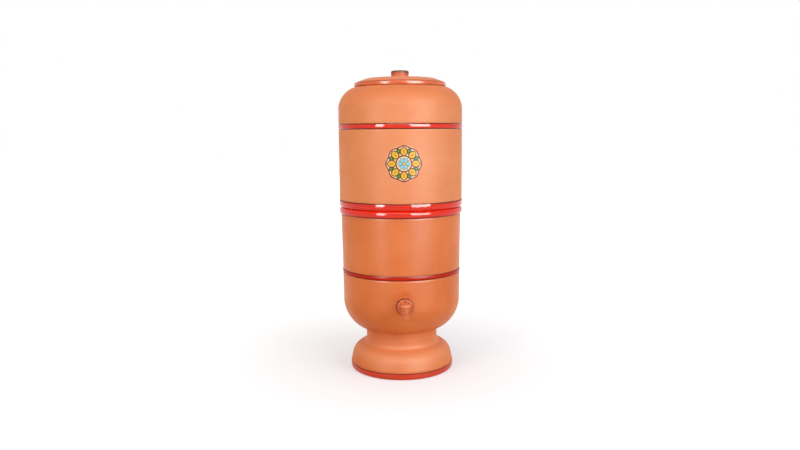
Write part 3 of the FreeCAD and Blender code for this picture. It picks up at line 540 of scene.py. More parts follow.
def painted_light_on_pedestal(s, height, pedestal, body):
    """Paler clay up the pedestal: painted light and sheen on its upward-facing slope."""
    full_height = PEDESTAL_HEIGHT - PEDESTAL_LIGHT_BELOW_TOP
    # Painted light and sheen: paler clay up the pedestal's upward-facing slope
    pedestal_light = s.range(height, FOOT_BAND_HEIGHT, full_height, 0.0, PEDESTAL_LIGHT_SHARE)
    return s.mix(s.math("MULTIPLY", pedestal, pedestal_light), body, PEDESTAL_PAINTED_LIGHT)


def shaded_shoulder(s, height, body):
    """Deeper clay up the shoulder of the upper chamber, as far as the lid's seat: painted shade
    under the lid's rim.
    """
    full_height = SHOULDER_TOP - SHOULDER_SHADE_BELOW_TOP
    # Painted shade: the deeper tone rises up the shoulder towards the lid's rim
    rising = s.range(height, SHOULDER_TOP - SHOULDER_HEIGHT, full_height, 0.0, SHOULDER_SHADE_SHARE)
    ending = s.range(height, LID_SEAT - SHOULDER_SHADE_FADE, LID_SEAT, SHOULDER_SHADE_SHARE, 0.0)
    return s.mix(s.math("MINIMUM", rising, ending), body, SHOULDER_SHADE_TONE)


def edge_line(s, height, line):
    """The tone of the line along the bands: a paler one beside the low band, which is worn."""
    off_band = s.math("ABSOLUTE", s.math("SUBTRACT", height, LOWER_BAND))
    near = s.range(off_band, LOWER_BAND_HEIGHT, 2 * LOWER_BAND_HEIGHT, 1.0, 0.0)
    return s.mix(near, line, WORN_LINE)


def painted_bands(s, where, bands):
    """Shares of enamel and of its dark edge in the bands; the dark edge is partly painted shade of
    the grooves. The edge of the brushwork wanders a little across the foot of its bead."""
    brush = s.noise(s.place((1, 1, 0.2)), scale=30.0, detail=3.0)
    wander = s.range(brush, 0.0, 1.0, -BRUSH_WANDER, BRUSH_WANDER)
    height = s.math("ADD", s.split(where)["Z"], wander)
    painted = 0.0
    edged = 0.0
    for band in bands:
        half = (band.high - band.low) / 2
        reach = half + STRAY_PAINT
        inner = band.inner_radius
        off = s.math("ABSOLUTE", s.math("SUBTRACT", height, (band.low + band.high) / 2))
        outside = s.range(s.from_axis(), inner - PAINT_DEPTH_FADE, inner + PAINT_DEPTH_FADE)
        inside = s.math("MULTIPLY", s.range(off, reach, reach - PAINT_FADE), outside)
        # Dark edge: partly thin enamel, partly painted shade of the groove beside the bead
        dark_edge = s.range(off, half - DARK_EDGE_WIDTH, half - DARKEST_EDGE_WIDTH)
        painted = s.math("MAXIMUM", inside, painted)
        edged = s.math("MAXIMUM", s.math("MULTIPLY", dark_edge, inside), edged)
    return painted, edged


def clay(name, tones, bands, line, shine):
    """Burnished clay, with a dark line beyond the foot of each enamelled bead, partly stray enamel
    and partly painted shade in its groove. By height it has a darker knob, painted light and sheen
    up the pedestal, and painted shade up the shoulder."""
    s = Paint(name)
    where = s.place()
    height = s.split(where)["Z"]
    pedestal = s.range(height, PEDESTAL_HEIGHT, BOWL_BOTTOM, 1.0, 0.0)
    body, rings = clay_colour(s, where, *tones)
    body = darkened_knob(s, where, height, body)
    body = painted_light_on_pedestal(s, height, pedestal, body)
    body = shaded_shoulder(s, height, body)
    painted, _ = painted_bands(s, where, bands)
    grain = s.noise(where, scale=900.0, detail=3.0, roughness=0.7)
    pores = s.range(s.grains(where, 520.0), 0.02, 0.12)
    relief = s.math("ADD", s.math("MULTIPLY", rings, 0.5), s.math("MULTIPLY", grain, 0.35))
    relief = s.math("ADD", relief, s.math("MULTIPLY", pores, 0.3))
    smooth, rough, mirror = shine
    burnish = s.range(s.noise(where, scale=70.0, detail=3.0), *NOISE_SPREAD, smooth, rough)
    return s.principled(
        Base_Color=s.mix(painted, body, edge_line(s, height, line)),
        Roughness=s.math("MULTIPLY_ADD", pedestal, 0.14, burnish),
        Normal=s.bump(relief, 0.10 * MM, 0.5),
        Specular_IOR_Level=mirror,
    )


def enamel(name, bands, tones, shine):
    """Brushed enamel: glossy, streaked along its bead, and dark along its edges, partly thin enamel
    and partly painted shade of the grooves. Round the foot it is scuffed down to the clay and
    duller."""
    s = Paint(name)
    where = s.place()
    deep, plain, bright, dark_edge = tones
    painted, edged = painted_bands(s, where, bands)
    strokes = s.noise(s.place((14, 14, 700)), scale=1.0)
    coat = s.ramp(strokes, [(0.30, deep), (0.52, plain), (0.85, bright)])
    scuffs = s.noise(s.place((1, 1, 4)), scale=90.0, detail=4.0, roughness=0.6)
    scuffs = s.range(scuffs, *NOISE_SPREAD)
    foot = s.range(s.split(where)["Z"], PEDESTAL_HEIGHT, BOWL_BOTTOM, 1.0, 0.0)
    few = s.math("MULTIPLY", scuffs, 0.12)
    many = s.math("MULTIPLY_ADD", scuffs, 0.4, 0.3)
    coat = s.mix(s.mix(foot, few, many, kind="FLOAT"), coat, SCUFFED_TONE)
    # Dark edge of the coat: partly thin enamel, partly painted shade of the groove
    coat = s.mix(s.math("MULTIPLY", edged, 0.95), coat, dark_edge)
    smooth, rough, mirror = shine
    gloss = s.range(s.noise(where, scale=45.0), *NOISE_SPREAD, smooth, rough)
    return s.principled(
        Base_Color=s.mix(painted, dark_edge, coat),
        Roughness=s.math("MULTIPLY_ADD", foot, 0.24, gloss),
        Normal=s.bump(s.math("ADD", strokes, s.noise(where, scale=55.0)), 0.04 * MM, 0.12),
        Specular_IOR_Level=mirror,
    )


def moulded(name, colour, darker, roughness):
    """Moulded plastic: a faint flow pattern in the colour and a fine satin grain."""
    s = Paint(name)
    where = s.place()
    flow = s.noise(s.place((1, 1, 1.6)), scale=110.0, detail=3.0, roughness=0.6, distortion=0.4)
    patches = s.noise(where, scale=300.0)
    grain = s.noise(where, scale=1400.0, roughness=0.6)
    return s.principled(
        Base_Color=s.mix(s.range(flow, *NOISE_SPREAD), colour, darker),
        Roughness=s.range(patches, *NOISE_SPREAD, roughness - 0.04, roughness + 0.05),
        Normal=s.bump(grain, 0.02 * MM, 0.5),
        Specular_IOR_Level=0.42,
    )


def rubber(name, colour, dusty):
    """Rubber with a dusty bloom."""
    s = Paint(name)
    where = s.place()
    bloom = s.noise(where, scale=260.0, detail=4.0, roughness=0.6)
    return s.principled(
        Base_Color=s.mix(s.range(bloom, 0.4, 0.75), colour, dusty),
        Roughness=0.62,
        Normal=s.bump(s.noise(where, scale=1200.0), 0.03 * MM, 0.6),
        Specular_IOR_Level=0.12,
    )


def steel(name, dark, pale):
    """Steel with fine turned lines."""
    s = Paint(name)
    lines = s.noise(s.place((300, 300, 4000)), scale=1.0, roughness=0.6)
    return s.principled(
        Base_Color=s.mix(s.range(lines, *NOISE_SPREAD), dark, pale),
        Metallic=1.0,
        Roughness=s.range(lines, *NOISE_SPREAD, 0.22, 0.36),
        Normal=s.bump(lines, 0.01 * MM, 0.4),
    )


def ceramic(name):
    """White porous candle ceramic with fine pits and faint stains."""
    s = Paint(name)
    where = s.place()
    stain = s.noise(where, scale=60.0, detail=4.0, roughness=0.6)
    pits = s.range(s.grains(where, 900.0), 0.05, 0.3)
    return s.principled(
        Base_Color=s.mix(s.range(stain, 0.45, 0.8), srgb(240, 238, 230), srgb(222, 214, 198)),
        Roughness=0.85,
        Normal=s.bump(pits, 0.08 * MM, 0.7),
    )


def carbon(name):
    """Granular carbon: black grains with paler middles, which are painted glints."""
    s = Paint(name)
    cells = s.grains(s.place(), 700.0)
    # The paler middles of the grains are painted glints
    stops = [(0.05, srgb(70, 70, 72)), (0.35, srgb(30, 30, 31)), (0.7, srgb(14, 14, 15))]
    return s.principled(
        Base_Color=s.ramp(cells, stops),
        Roughness=0.55,
        Normal=s.bump(cells, 0.5 * MM, 1.0),
    )


def foam(name):
    """Pale blue closed-cell float with a fine skin of cells."""
    s = Paint(name)
    cells = s.grains(s.place(), 1300.0)
    return s.principled(
        Base_Color=s.ramp(cells, [(0.0, srgb(140, 176, 206)), (0.5, srgb(168, 198, 222))]),
        Roughness=0.7,
        Normal=s.bump(cells, 0.06 * MM, 0.6),
    )


# ------------------------ the label's print

# How softly the inks and the edges of leaves end
SOFT_INK = 0.12
SOFT_LEAF = 0.12


class Print:
    """Flat inks on the round label, one over the other, drawn in millimetres from its centre."""

    def __init__(self, shader, ground):
        self.s = shader
        self.tone = ground
        millimetres = shader.split(shader.place((1 / MM, 1 / MM, 1 / MM)))
        across = millimetres["X"]
        up = shader.math("SUBTRACT", millimetres["Z"], LABEL_HEIGHT / MM)
        self.angle = shader.math("ARCTAN2", up, across)
        squares = shader.math("MULTIPLY", up, up)
        self.radius = shader.math("SQRT", shader.math("MULTIPLY_ADD", across, across, squares))

    def ink(self, share, colour):
        """Prints a colour over what is there."""
        self.tone = self.s.mix(share, self.tone, colour)

    def disc(self, radius):
        """Ink out to a radius, a number or a wavy one from lobed()."""
        over = self.s.math("SUBTRACT", self.radius, radius)
        return self.s.range(over, SOFT_INK, -SOFT_INK)

    def lobed(self, radius, count, depth):
        """A radius that swells count times round the label."""
        wave = self.s.math("COSINE", self.s.math("MULTIPLY", self.angle, count))
        return self.s.math("MULTIPLY_ADD", wave, depth, radius)

    def ring(self, radius, width):
        """A line of ink round the label at a radius."""
        over = self.s.math("ABSOLUTE", self.s.math("SUBTRACT", self.radius, radius))
        return self.s.range(over, width / 2 + SOFT_INK, width / 2 - SOFT_INK)

    def leaves(self, count, turn, middle, half_length, half_width):
        """Pointed leaves along the spokes: how far a point is from a leaf's middle, 1 at its edge.
        turn is a share of the step from spoke to spoke."""
        step = 2 * math.pi / count
        above_zero = 4 * math.pi
        moved = self.s.math("ADD", self.angle, step * (turn + 0.5) + above_zero)
        spoke = self.s.math("SUBTRACT", self.s.math("MODULO", moved, step), step / 2)
        along = self.s.math("MULTIPLY", self.radius, self.s.math("COSINE", spoke))
        across = self.s.math("MULTIPLY", self.radius, self.s.math("SINE", spoke))
        along = self.s.math("DIVIDE", self.s.math("SUBTRACT", along, middle), half_length)
        across = self.s.math("DIVIDE", self.s.math("ABSOLUTE", across), half_width)
        return self.s.math("ADD", self.s.math("MULTIPLY", along, along), across)

    def filled(self, distance):
        """Ink inside the edge of leaves."""
        return self.s.range(distance, 1 + SOFT_LEAF, 1 - SOFT_LEAF)

    def outlined(self, distance, outline, outline_colour, colour):
        """Prints leaves in a colour over wider ones that show as their outline."""
        self.ink(self.filled(self.s.math("SUBTRACT", distance, outline)), outline_colour)
        self.ink(self.filled(distance), colour)

    def heart(self, distance, shrink, colour):
        """Prints smaller leaves in the middle of leaves."""
        self.ink(self.filled(self.s.math("MULTIPLY", distance, shrink)), colour)


def label_print():
    """A made-up rosette in flat inks: a lobed border with dots, yellow petals, green leaves, and a
    pale blue blossom with red beads on a cream disc."""
    film = srgb(247, 176, 134)
    peach = srgb(252, 206, 168)
    brown = srgb(118, 26, 4)
    yellow = srgb(246, 208, 52)
    orange = srgb(232, 148, 34)
    green = srgb(52, 112, 40)
    lime = srgb(150, 190, 80)
    umber = srgb(52, 40, 12)
    cream = srgb(252, 238, 196)
    blue = srgb(150, 214, 232)
    teal = srgb(84, 116, 96)
    red = srgb(176, 54, 30)
    olive = srgb(60, 60, 34)

    s = Paint("label_print")
    where = s.place()
    p = Print(s, film)
    border = p.lobed(28.0, count=8, depth=0.9)
    p.ink(p.disc(border), peach)
    p.ink(p.ring(border, width=1.9), brown)
    petals = p.leaves(count=8, turn=0.0, middle=19.6, half_length=6.6, half_width=4.7)
    p.outlined(petals, 0.52, brown, yellow)
    p.heart(petals, 2.6, orange)
    leaves = p.leaves(count=8, turn=0.5, middle=22.0, half_length=4.2, half_width=2.3)
    p.outlined(leaves, 0.42, umber, green)
    p.heart(leaves, 3.5, lime)
    dots = p.leaves(count=8, turn=0.5, middle=26.0, half_length=0.9, half_width=1.1)
    p.ink(p.filled(dots), brown)
    p.ink(p.disc(13.6), brown)
    p.ink(p.disc(11.6), cream)
    blossom = p.leaves(count=6, turn=0.0, middle=6.0, half_length=4.3, half_width=2.6)
    p.outlined(blossom, 0.35, teal, blue)
    beads = p.leaves(count=6, turn=0.5, middle=9.3, half_length=1.0, half_width=1.2)
    p.ink(p.filled(beads), red)
    p.ink(p.disc(2.8), olive)
    p.ink(p.disc(2.2), yellow)
    wear = s.noise(where, scale=700.0, detail=3.0, roughness=0.7)
    p.ink(s.range(wear, 0.62, 0.72, 0.0, 0.35), film)
    return s.principled(
        Base_Color=p.tone,
        Roughness=0.42,
        Normal=s.bump(s.noise(where, scale=500.0), 0.02 * MM, 0.4),
        Specular_IOR_Level=0.12,
    )


# ------------------------ outlines and turned meshes

CURVE_STEPS = 12
LONGEST_STEP = 3.0 * MM
SAME_POINT = 0.0001 * MM
ON_AXIS = 0.001 * MM
SEGMENTS = 240
SHARP_ANGLE = math.radians(35)

# How full a soft curve is that comes closest to a quarter of an ellipse
ELLIPSE_FULLNESS = 4 / 3 * (math.sqrt(2) - 1)


def smooth_outline(corners, closed):
    """Points of an outline through corners, each (r, z) or (r, z, rounding). A rounding is a
    fillet's radius, or how far a soft curve starts before its corner, how far after it the curve
    ends and, where it isn't a quarter of an ellipse, how full it is."""
    points = []
    for i, corner in enumerate(corners):
        at = Vector(corner[:2])
        if len(corner) == 2:
            points.append(at)
            continue
        back = (Vector(corners[i - 1][:2]) - at).normalized()
        on = (Vector(corners[(i + 1) % len(corners)][:2]) - at).normalized()
        if isinstance(corner[2], tuple):
            points += soft_corner(at, back, on, *corner[2])
        else:
            points += round_corner(at, back, on, corner[2])
    return with_short_steps(points, closed)


def round_corner(at, back, on, radius):
    """Points along a fillet."""
    half = back.angle(on) / 2
    middle = at + (back + on).normalized() * (radius / math.sin(half))
    start = at + back * (radius / math.tan(half)) - middle
    sweep = math.pi - 2 * half
    side = 1 if back.x * on.y - back.y * on.x < 0 else -1
    count = max(2, round(CURVE_STEPS * sweep / (math.pi / 2)))
    turns = [side * sweep * k / count for k in range(count + 1)]
    return [middle + turned_by(start, turn) for turn in turns]


def turned_by(vector, angle):
    cos = math.cos(angle)
    sin = math.sin(angle)
    return Vector((vector.x * cos - vector.y * sin, vector.x * sin + vector.y * cos))


def soft_corner(at, back, on, along_back, along_on, fullness=ELLIPSE_FULLNESS):
    """Points along a curve that is tangent to both edges of the corner."""
    start = at + back * along_back
    end = at + on * along_on
    first = start + (at - start) * fullness
    second = end + (at - end) * fullness
    count = 2 * CURVE_STEPS
    points = []
    for k in range(count + 1):
        t = k / count
        u = 1 - t
        points.append(u**3 * start + 3 * u**2 * t * first + 3 * u * t**2 * second + t**3 * end)
    return points


def with_short_steps(points, closed):
    """Divides long straight stretches, and drops points that fall on the one before."""
    result = []
    for i, point in enumerate(points):
        if i == 0 and not closed:
            result.append(point)
            continue
        before = points[i - 1]
        gap = (point - before).length
        if gap < SAME_POINT:
            continue
        count = math.ceil(gap / LONGEST_STEP)
        result += [before.lerp(point, k / count) for k in range(1, count + 1)]
    return result


def bead(radius, z, height, proud):
    """Corners of a half-round bead that stands out of a wall by proud, from low to high, between
    two fine tooled grooves."""
    half = height / 2
    arc_radius = (half**2 + proud**2) / (2 * proud)
    peak = half**2 / math.sqrt(arc_radius**2 - half**2)
    return [
        (radius, z - half - GROOVE),
        (radius - GROOVE / 2, z - half),
        (radius + peak, z, arc_radius),
        (radius - GROOVE / 2, z + half),
        (radius, z + half + GROOVE),
    ]


def unevenness(angle, z):
    """How far hand-turned clay stands off its true radius."""
    x = math.cos(angle)
    y = math.sin(angle)
    wave = noise.noise(Vector((x * WAVE_ROUND, y * WAVE_ROUND, z * WAVE_UP)))
    ridge = noise.noise(Vector((x * RIDGE_ROUND, y * RIDGE_ROUND, z * RIDGE_UP)))
    return WAVE * wave + RIDGE * ridge


def turned(name, outline, closed, shift):
    """The mesh that an outline sweeps in a full turn about Z, with clay's slight unevenness. Near
    the axis that fades out."""
    mesh = bmesh.new()
    rings = []
    for point in outline:
        if point.x < ON_AXIS:
            rings.append([mesh.verts.new((0, 0, point.y))])
            continue
        share = min(1.0, point.x / STEADY_RADIUS)
        ring = []
        for k in range(SEGMENTS):
            angle = 2 * math.pi * k / SEGMENTS
            radius = point.x + share * unevenness(angle, point.y + shift)
            place = (radius * math.cos(angle), radius * math.sin(angle), point.y)
            ring.append(mesh.verts.new(place))
        rings.append(ring)
    pairs = list(zip(rings, rings[1:]))
    if closed:
        pairs.append((rings[-1], rings[0]))
    for low, high in pairs:
        bridge(mesh, low, high, SEGMENTS)
    return piece_from(name, mesh)


def bridge(mesh, low, high, count):
    """Faces between two rings of count points. A ring may also be a single point."""
    for k in range(count):
        n = (k + 1) % count
        below = (low[k % len(low)], low[n % len(low)])
        above = (high[n % len(high)], high[k % len(high)])
        mesh.faces.new(list(dict.fromkeys(below + above)))


def piece_from(name, mesh):
    """An object in the scene from a bmesh, with its faces turned outwards."""
    bmesh.ops.recalc_face_normals(mesh, faces=mesh.faces)
    data = bpy.data.meshes.new(name)
    mesh.to_mesh(data)
    mesh.free()
    shade(data)
    piece = bpy.data.objects.new(name, data)
    bpy.context.scene.collection.objects.link(piece)
    return piece


def shade(data):
    """Shades a mesh smooth except at sharp corners."""
    data.shade_smooth()
    data.set_sharp_from_angle(angle=SHARP_ANGLE)


def dress(piece, materials, body, slot, *nodes):
    """Gives a new piece its materials and its body, and hides the nodes it stands for. Its slot is
    not used.
    """
    for material in materials:
        piece.data.materials.append(material)
    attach(piece, body)
    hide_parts(*nodes)


# ------------------------ clay pieces

TAP_HOLE_STEPS = 64
DRILL_LENGTH = 6 * WALL

# The places of a clay piece's materials
CLAY_PAINT = 0
ENAMEL_PAINT = 1
WORN_PAINT = 2


def lower_radius(z):
    """Outer radius of the lower chamber's tapered wall, also where the bowl curves away from it."""
    return LOWER_RADIUS - LOWER_TAPER * (RIM_BEAD_BOTTOM - z) / (RIM_BEAD_BOTTOM - BOWL_BOTTOM)


def lower_outline():
    """The lower chamber with its pedestal foot: from the middle of the floor's underside, down the
    hollow, round the foot, up the wall, over the rim and down to the middle of the floor."""
    shoulder = (FOOT_RADIUS - PEDESTAL_LEAN, PEDESTAL_HEIGHT - PEDESTAL_SHOULDER_SLOPE)
    hollow_radius = WAIST_RADIUS - FOOT_WALL
    under = [
        (0, BOWL_BOTTOM),
        (hollow_radius, BOWL_BOTTOM, CLAY_FILLET / 2),
        (hollow_radius, PEDESTAL_HEIGHT - FOOT_WALL, CLAY_FILLET),
        (shoulder[0] - FOOT_WALL, shoulder[1] - FOOT_WALL, PEDESTAL_SHOULDER_ROUND - FOOT_WALL),
        (FOOT_RADIUS - FOOT_WALL, 0, CLAY_EDGE),
    ]
    foot = [
        (FOOT_RADIUS, 0, FOOT_EDGE_ROUND),
        (FOOT_RADIUS, FOOT_BAND_HEIGHT, FOOT_BAND_STEP),
        (FOOT_RADIUS - GROOVE, FOOT_BAND_HEIGHT + GROOVE / 2),
        (FOOT_RADIUS - FOOT_BAND_STEP, FOOT_BAND_HEIGHT + 3 / 2 * GROOVE),
        (*shoulder, PEDESTAL_SHOULDER_ROUND),
        (WAIST_RADIUS, PEDESTAL_HEIGHT, WAIST_FILLET),
        (WAIST_RADIUS, BOWL_BOTTOM),
    ]
    corner_radius = lower_radius(BOWL_BOTTOM)
    bowl_curve = (corner_radius - WAIST_RADIUS, BOWL_CURVE_HEIGHT, BOWL_FULLNESS)
    rim_bead_radius = LOWER_RADIUS + RIM_BEAD_PROUD
    wall = [
        (corner_radius, BOWL_BOTTOM, bowl_curve),
        *bead(lower_radius(LOWER_BAND), LOWER_BAND, LOWER_BAND_HEIGHT, LOWER_BAND_PROUD),
        (LOWER_RADIUS, RIM_BEAD_BOTTOM - GROOVE),
        (LOWER_RADIUS - GROOVE / 2, RIM_BEAD_BOTTOM),
        (rim_bead_radius, RIM_BEAD_BOTTOM, (RIM_BEAD_PROUD, BEAD_ROUND)),
        (rim_bead_radius, SEAT, (BEAD_ROUND, BEAD_ROUND)),
    ]
    inner_radius = lower_radius(LOWER_FLOOR_TOP) - WALL
    inner_curve = (BOWL_CURVE_TOP - LOWER_FLOOR_TOP, inner_radius - WAIST_RADIUS, BOWL_FULLNESS)
    inside = [
        (LOWER_MOUTH_RADIUS, SEAT, CLAY_EDGE),
        (LOWER_MOUTH_RADIUS, RIM_BEAD_BOTTOM),
        (inner_radius, LOWER_FLOOR_TOP, inner_curve),
        (0, LOWER_FLOOR_TOP),
    ]
    return smooth_outline([*under, *foot, *wall, *inside], closed=False)


def upper_outline():
    """The upper chamber, all round its wall and floor, from the candle's hole outwards."""
    base_bead_radius = UPPER_RADIUS + BASE_BEAD_PROUD
    spigot_radius = LOWER_MOUTH_RADIUS - SPIGOT_CLEARANCE
    inner_radius = UPPER_RADIUS - WALL
    neck_radius = MOUTH_RADIUS + NECK_WALL
    shoulder_width = UPPER_RADIUS - neck_radius
    outside = [
        (CANDLE_HOLE_RADIUS, UPPER_FLOOR_BOTTOM),
        (spigot_radius, UPPER_FLOOR_BOTTOM, CLAY_EDGE),
        (spigot_radius, SEAT),
        (base_bead_radius, SEAT, (BEAD_ROUND, BEAD_ROUND)),
        (base_bead_radius, SEAT + BASE_BEAD_HEIGHT, (BEAD_ROUND, BASE_BEAD_PROUD)),
        (UPPER_RADIUS - GROOVE / 2, SEAT + BASE_BEAD_HEIGHT),
        (UPPER_RADIUS, SEAT + BASE_BEAD_HEIGHT + GROOVE),
        *bead(UPPER_RADIUS, UPPER_BAND, UPPER_BAND_HEIGHT, UPPER_BAND_PROUD),
        (UPPER_RADIUS, SHOULDER_TOP, (SHOULDER_HEIGHT, shoulder_width, SHOULDER_FULLNESS)),
        (neck_radius, LID_SEAT, NECK_EDGE),
        (MOUTH_RADIUS, LID_SEAT, CLAY_EDGE),
    ]
    inner_shoulder = (shoulder_width - WALL, SHOULDER_HEIGHT - WALL, SHOULDER_FULLNESS)
    inside = [
        (MOUTH_RADIUS, SHOULDER_TOP - WALL, CLAY_EDGE),
        (inner_radius, SHOULDER_TOP - WALL, inner_shoulder),
        (inner_radius, UPPER_FLOOR_TOP, (FLOOR_CURVE_HEIGHT, FLOOR_CURVE_WIDTH, FLOOR_FULLNESS)),
        (CANDLE_HOLE_RADIUS, UPPER_FLOOR_TOP),
    ]
    return smooth_outline([*outside, *inside], closed=True)


def lid_outline():
    """The lid with its centring ring and knob, from under the crown to the top of the knob."""
    edge_top = LID_SEAT + LID_EDGE
    slope_top = edge_top + LID_SLOPE_HEIGHT
    ring_outer = MOUTH_RADIUS - LID_RING_CLEARANCE
    ring_inner = ring_outer - LID_RING_WALL
    return smooth_outline(
        [
            (0, CROWN - LID_WALL),
            (ring_inner, slope_top - LID_WALL, CLAY_EDGE),
            (ring_inner, LID_SEAT - LID_RING_DEPTH, CLAY_EDGE),
            (ring_outer, LID_SEAT - LID_RING_DEPTH, CLAY_EDGE),
            (ring_outer, LID_SEAT),
            (LID_RADIUS, LID_SEAT, LID_LOWER_EDGE),
            (LID_RADIUS, edge_top, LID_EDGE_ROUND),
            (LID_RADIUS - LID_SLOPE_WIDTH, slope_top, LID_SLOPE_ROUND),
            (KNOB_RADIUS - KNOB_WAIST, CROWN, KNOB_FILLET),
            (KNOB_RADIUS, KNOB_TOP, KNOB_ROUND),
            (0, KNOB_TOP),
        ],
        closed=False,
    )


def flatten_for_tap(piece):
    """Presses the clay flat where the tap's two gaskets lie, fading into the round wall."""
    for vertex in piece.data.vertices:
        place = vertex.co
        if place.y > 0:
            continue
        off = math.hypot(place.x, place.z - TAP_AXIS)
        share = min(1.0, max(0.0, (TAP_PAD_RADIUS + PAD_FADE - off) / PAD_FADE))
        smooth_share = share * share * (3 - 2 * share)
        outer = math.hypot(place.x, place.y) > lower_radius(place.z) - WALL / 2
        flat = -TAP_PAD if outer else -TAP_BACK_PAD
        place.y += smooth_share * max(0.0, flat - place.y)


def drill_for_tap(piece):
    """Cuts the round hole that the tap's stem goes through. The drill is turned by half a step, so
    that no corner of it falls on the clay's own edges."""
    mesh = bmesh.new()
    half_step = math.pi / TAP_HOLE_STEPS
    turn = Matrix.Rotation(math.radians(90), 4, "X") @ Matrix.Rotation(half_step, 4, "Z")
    at = Matrix.Translation((0, -(TAP_PAD + TAP_BACK_PAD) / 2, TAP_AXIS))
    bmesh.ops.create_cone(
        mesh,
        cap_ends=True,
        segments=TAP_HOLE_STEPS,
        radius1=TAP_HOLE_RADIUS,
        radius2=TAP_HOLE_RADIUS,
        depth=DRILL_LENGTH,
        matrix=at @ turn,
    )
    drill = piece_from("drill", mesh)
    cut = piece.modifiers.new("tap_hole", "BOOLEAN")
    cut.operation = "DIFFERENCE"
    cut.solver = "EXACT"
    cut.object = drill
    apply_modifiers(piece)
    bpy.data.objects.remove(drill, do_unlink=True)


def apply_modifiers(piece):
    """Makes a piece's modifiers part of its mesh."""
    graph = bpy.context.evaluated_depsgraph_get()
    finished = bpy.data.meshes.new_from_object(piece.evaluated_get(graph))
    piece.modifiers.clear()
    piece.data = finished
    shade(finished)


def make_clay():
    """The lower chamber with its foot, the upper chamber, and the lid with its knob."""
    lower = turned("lower_clay", lower_outline(), closed=False, shift=LOWER_SHIFT)
    flatten_for_tap(lower)
    drill_for_tap(lower)
    paint = clay_paint(lower, LOWER_TONES, LOWER_SHINE, lower_bands(), ENAMEL, ENAMEL_SHINE)
    paint.append(enamel("worn_enamel", lower_bands(), WORN_ENAMEL, WORN_SHINE))
    dress(lower, paint, "lower", "clay", "lower_chamber", "pedestal_foot")
    upper = turned("upper_clay", upper_outline(), closed=True, shift=UPPER_SHIFT)
    paint = clay_paint(upper, UPPER_TONES, UPPER_SHINE, upper_bands(), ENAMEL, ENAMEL_SHINE)
    dress(upper, paint, "upper", "clay", "upper_chamber")
    lid = turned("lid_clay", lid_outline(), closed=False, shift=LID_SHIFT)
    paint = clay_paint(lid, LID_TONES, LID_SHINE, lid_bands(), LID_GLAZE, LID_GLAZE_SHINE)
    dress(lid, paint, "lid", "clay", "lid")


def clay_paint(piece, tones, shine, bands, enamel_tones, enamel_shine):
    """Marks each face of a piece with its paint, and makes the piece's clay and enamel."""
    for face in piece.data.polygons:
        face.material_index = paint_at(face.center, bands)
    line = enamel_tones[-1]
    plain = clay(piece.name, tones, bands, line, shine)
    glossy = enamel(piece.name.replace("clay", "enamel"), bands, enamel_tones, enamel_shine)
    return [plain, glossy]


def paint_at(place, bands):
    """Which of a piece's materials shows at a place: its clay, its enamel or its worn enamel."""
    off_axis = math.hypot(place.x, place.y)
    for band in bands:
        in_height = band.low + DARK_EDGE_WIDTH / 2 < place.z < band.high - DARK_EDGE_WIDTH / 2
        if in_height and off_axis > band.inner_radius:
            return WORN_PAINT if band.worn else ENAMEL_PAINT
    return CLAY_PAINT


def lower_bands():
    """Enamel on the rim bead and round the foot, and worn enamel on the low band."""
    half = LOWER_BAND_HEIGHT / 2
    inner = LOWER_RADIUS - LOWER_BAND_PAINT_DEPTH
    return [
        Band(RIM_BEAD_BOTTOM, SEAT + CLAY_EDGE, LOWER_RADIUS - RIM_PAINT_DEPTH),
        Band(LOWER_BAND - half, LOWER_BAND + half, inner, worn=True),
        Band(-CLAY_EDGE, FOOT_BAND_HEIGHT, FOOT_RADIUS - FOOT_PAINT_DEPTH),
    ]


def upper_bands():
    """Enamel on the base bead and the top band."""
    half = UPPER_BAND_HEIGHT / 2
    inner = UPPER_RADIUS - UPPER_PAINT_DEPTH
    return [
        Band(SEAT - CLAY_EDGE, SEAT + BASE_BEAD_HEIGHT, inner),
        Band(UPPER_BAND - half, UPPER_BAND + half, inner),
    ]


def lid_bands():
    """Glaze round the lid's rim."""
    top = LID_SEAT + LID_EDGE + LID_GLAZE_RISE
    return [Band(LID_SEAT - CLAY_EDGE, top, LID_RADIUS - LID_GLAZE_DEPTH)]


# ------------------------ label

LABEL_RINGS = 30
LABEL_SEGMENTS = 128


def make_label():
    """The round printed film, which follows the uneven wall and is thinner at its edge."""
    mesh = bmesh.new()
    front = []
    back = []
    for ring in range(LABEL_RINGS + 1):
        radius = LABEL_RADIUS * ring / LABEL_RINGS
        thickness = LABEL_THICKNESS if ring < LABEL_RINGS else LABEL_EDGE_THICKNESS
        count = LABEL_SEGMENTS if ring else 1
        for lift, rows in ((LABEL_GLUE, back), (LABEL_GLUE + thickness, front)):
            row = []
            for k in range(count):
                turn = 2 * math.pi * k / LABEL_SEGMENTS
                across = radius * math.cos(turn)
                up = radius * math.sin(turn)
                row.append(mesh.verts.new(on_upper_wall(across, up, lift)))
            rows.append(row)
    for rows in (front, back):
        for inner, outer in zip(rows, rows[1:]):
            bridge(mesh, inner, outer, LABEL_SEGMENTS)
    bridge(mesh, front[-1], back[-1], LABEL_SEGMENTS)
    label = piece_from("label_film", mesh)
    dress(label, [label_print()], "upper", "printed_label", "front_label")


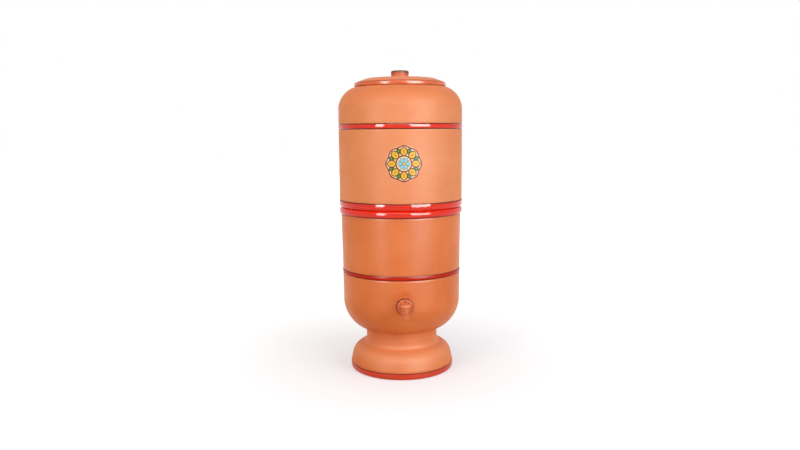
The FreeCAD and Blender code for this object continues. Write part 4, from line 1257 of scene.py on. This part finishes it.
def on_upper_wall(across, up, lift):
    """A point lift off the front of the upper chamber, across and up from the label's centre."""
    angle = -math.pi / 2 + across / UPPER_RADIUS
    z = LABEL_HEIGHT + up
    radius = UPPER_RADIUS + unevenness(angle, z + UPPER_SHIFT) + lift
    return (radius * math.cos(angle), radius * math.sin(angle), z)


# ------------------------ CAD nodes that keep their shape


def paint_nodes():
    """Gives its material to each CAD node that keeps its shape."""
    white = moulded("white_plastic", srgb(232, 232, 226), srgb(222, 221, 213), 0.42)
    tap = moulded("tap_plastic", srgb(228, 112, 46), srgb(210, 96, 38), 0.24)
    # The cap ring is a paler copy of the tap's plastic: a painted highlight for its lit top
    ring = moulded("tap_ring_plastic", srgb(250, 150, 96), srgb(240, 136, 82), 0.22)
    black = rubber("rubber_dark", srgb(46, 28, 22), srgb(80, 56, 46))
    brown = rubber("rubber_brown", srgb(84, 18, 2), srgb(100, 30, 8))
    metal = steel("steel_turned", srgb(186, 184, 182), srgb(214, 213, 211))
    # Dark brown steel for the handle's screw, which darkens the slot it sits in
    dark_brown_steel = steel("steel_dark_brown", srgb(70, 26, 10), srgb(104, 42, 20))
    materials = {
        "candle_base": white,
        "candle_shell": ceramic("candle_ceramic"),
        "candle_carbon": carbon("carbon_grains"),
        "candle_gasket": black,
        "candle_washer": white,
        "candle_wing_nut": white,
        "float_holder": white,
        "float_pivot_pin": metal,
        "float_arm": white,
        "float_body": foam("float_foam"),
        "float_pad": black,
        "tap_body": tap,
        "tap_plug": moulded("plug_plastic", srgb(222, 217, 204), srgb(208, 202, 188), 0.40),
        "tap_plug_seals": black,
        "tap_cap_ring": ring,
        "tap_handle": tap,
        "tap_handle_screw": dark_brown_steel,
        "tap_front_gasket": brown,
        "tap_back_gasket": black,
        "tap_back_nut": tap,
    }
    for node, material in materials.items():
        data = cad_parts[node].data
        data.materials.clear()
        data.materials.append(material)


# ------------------------ make it

bpy.context.scene.view_settings.view_transform = "Standard"
make_camera()
make_lights()
make_world()
make_floor()
make_clay()
make_label()
paint_nodes()

bpy.context.view_layer.update()
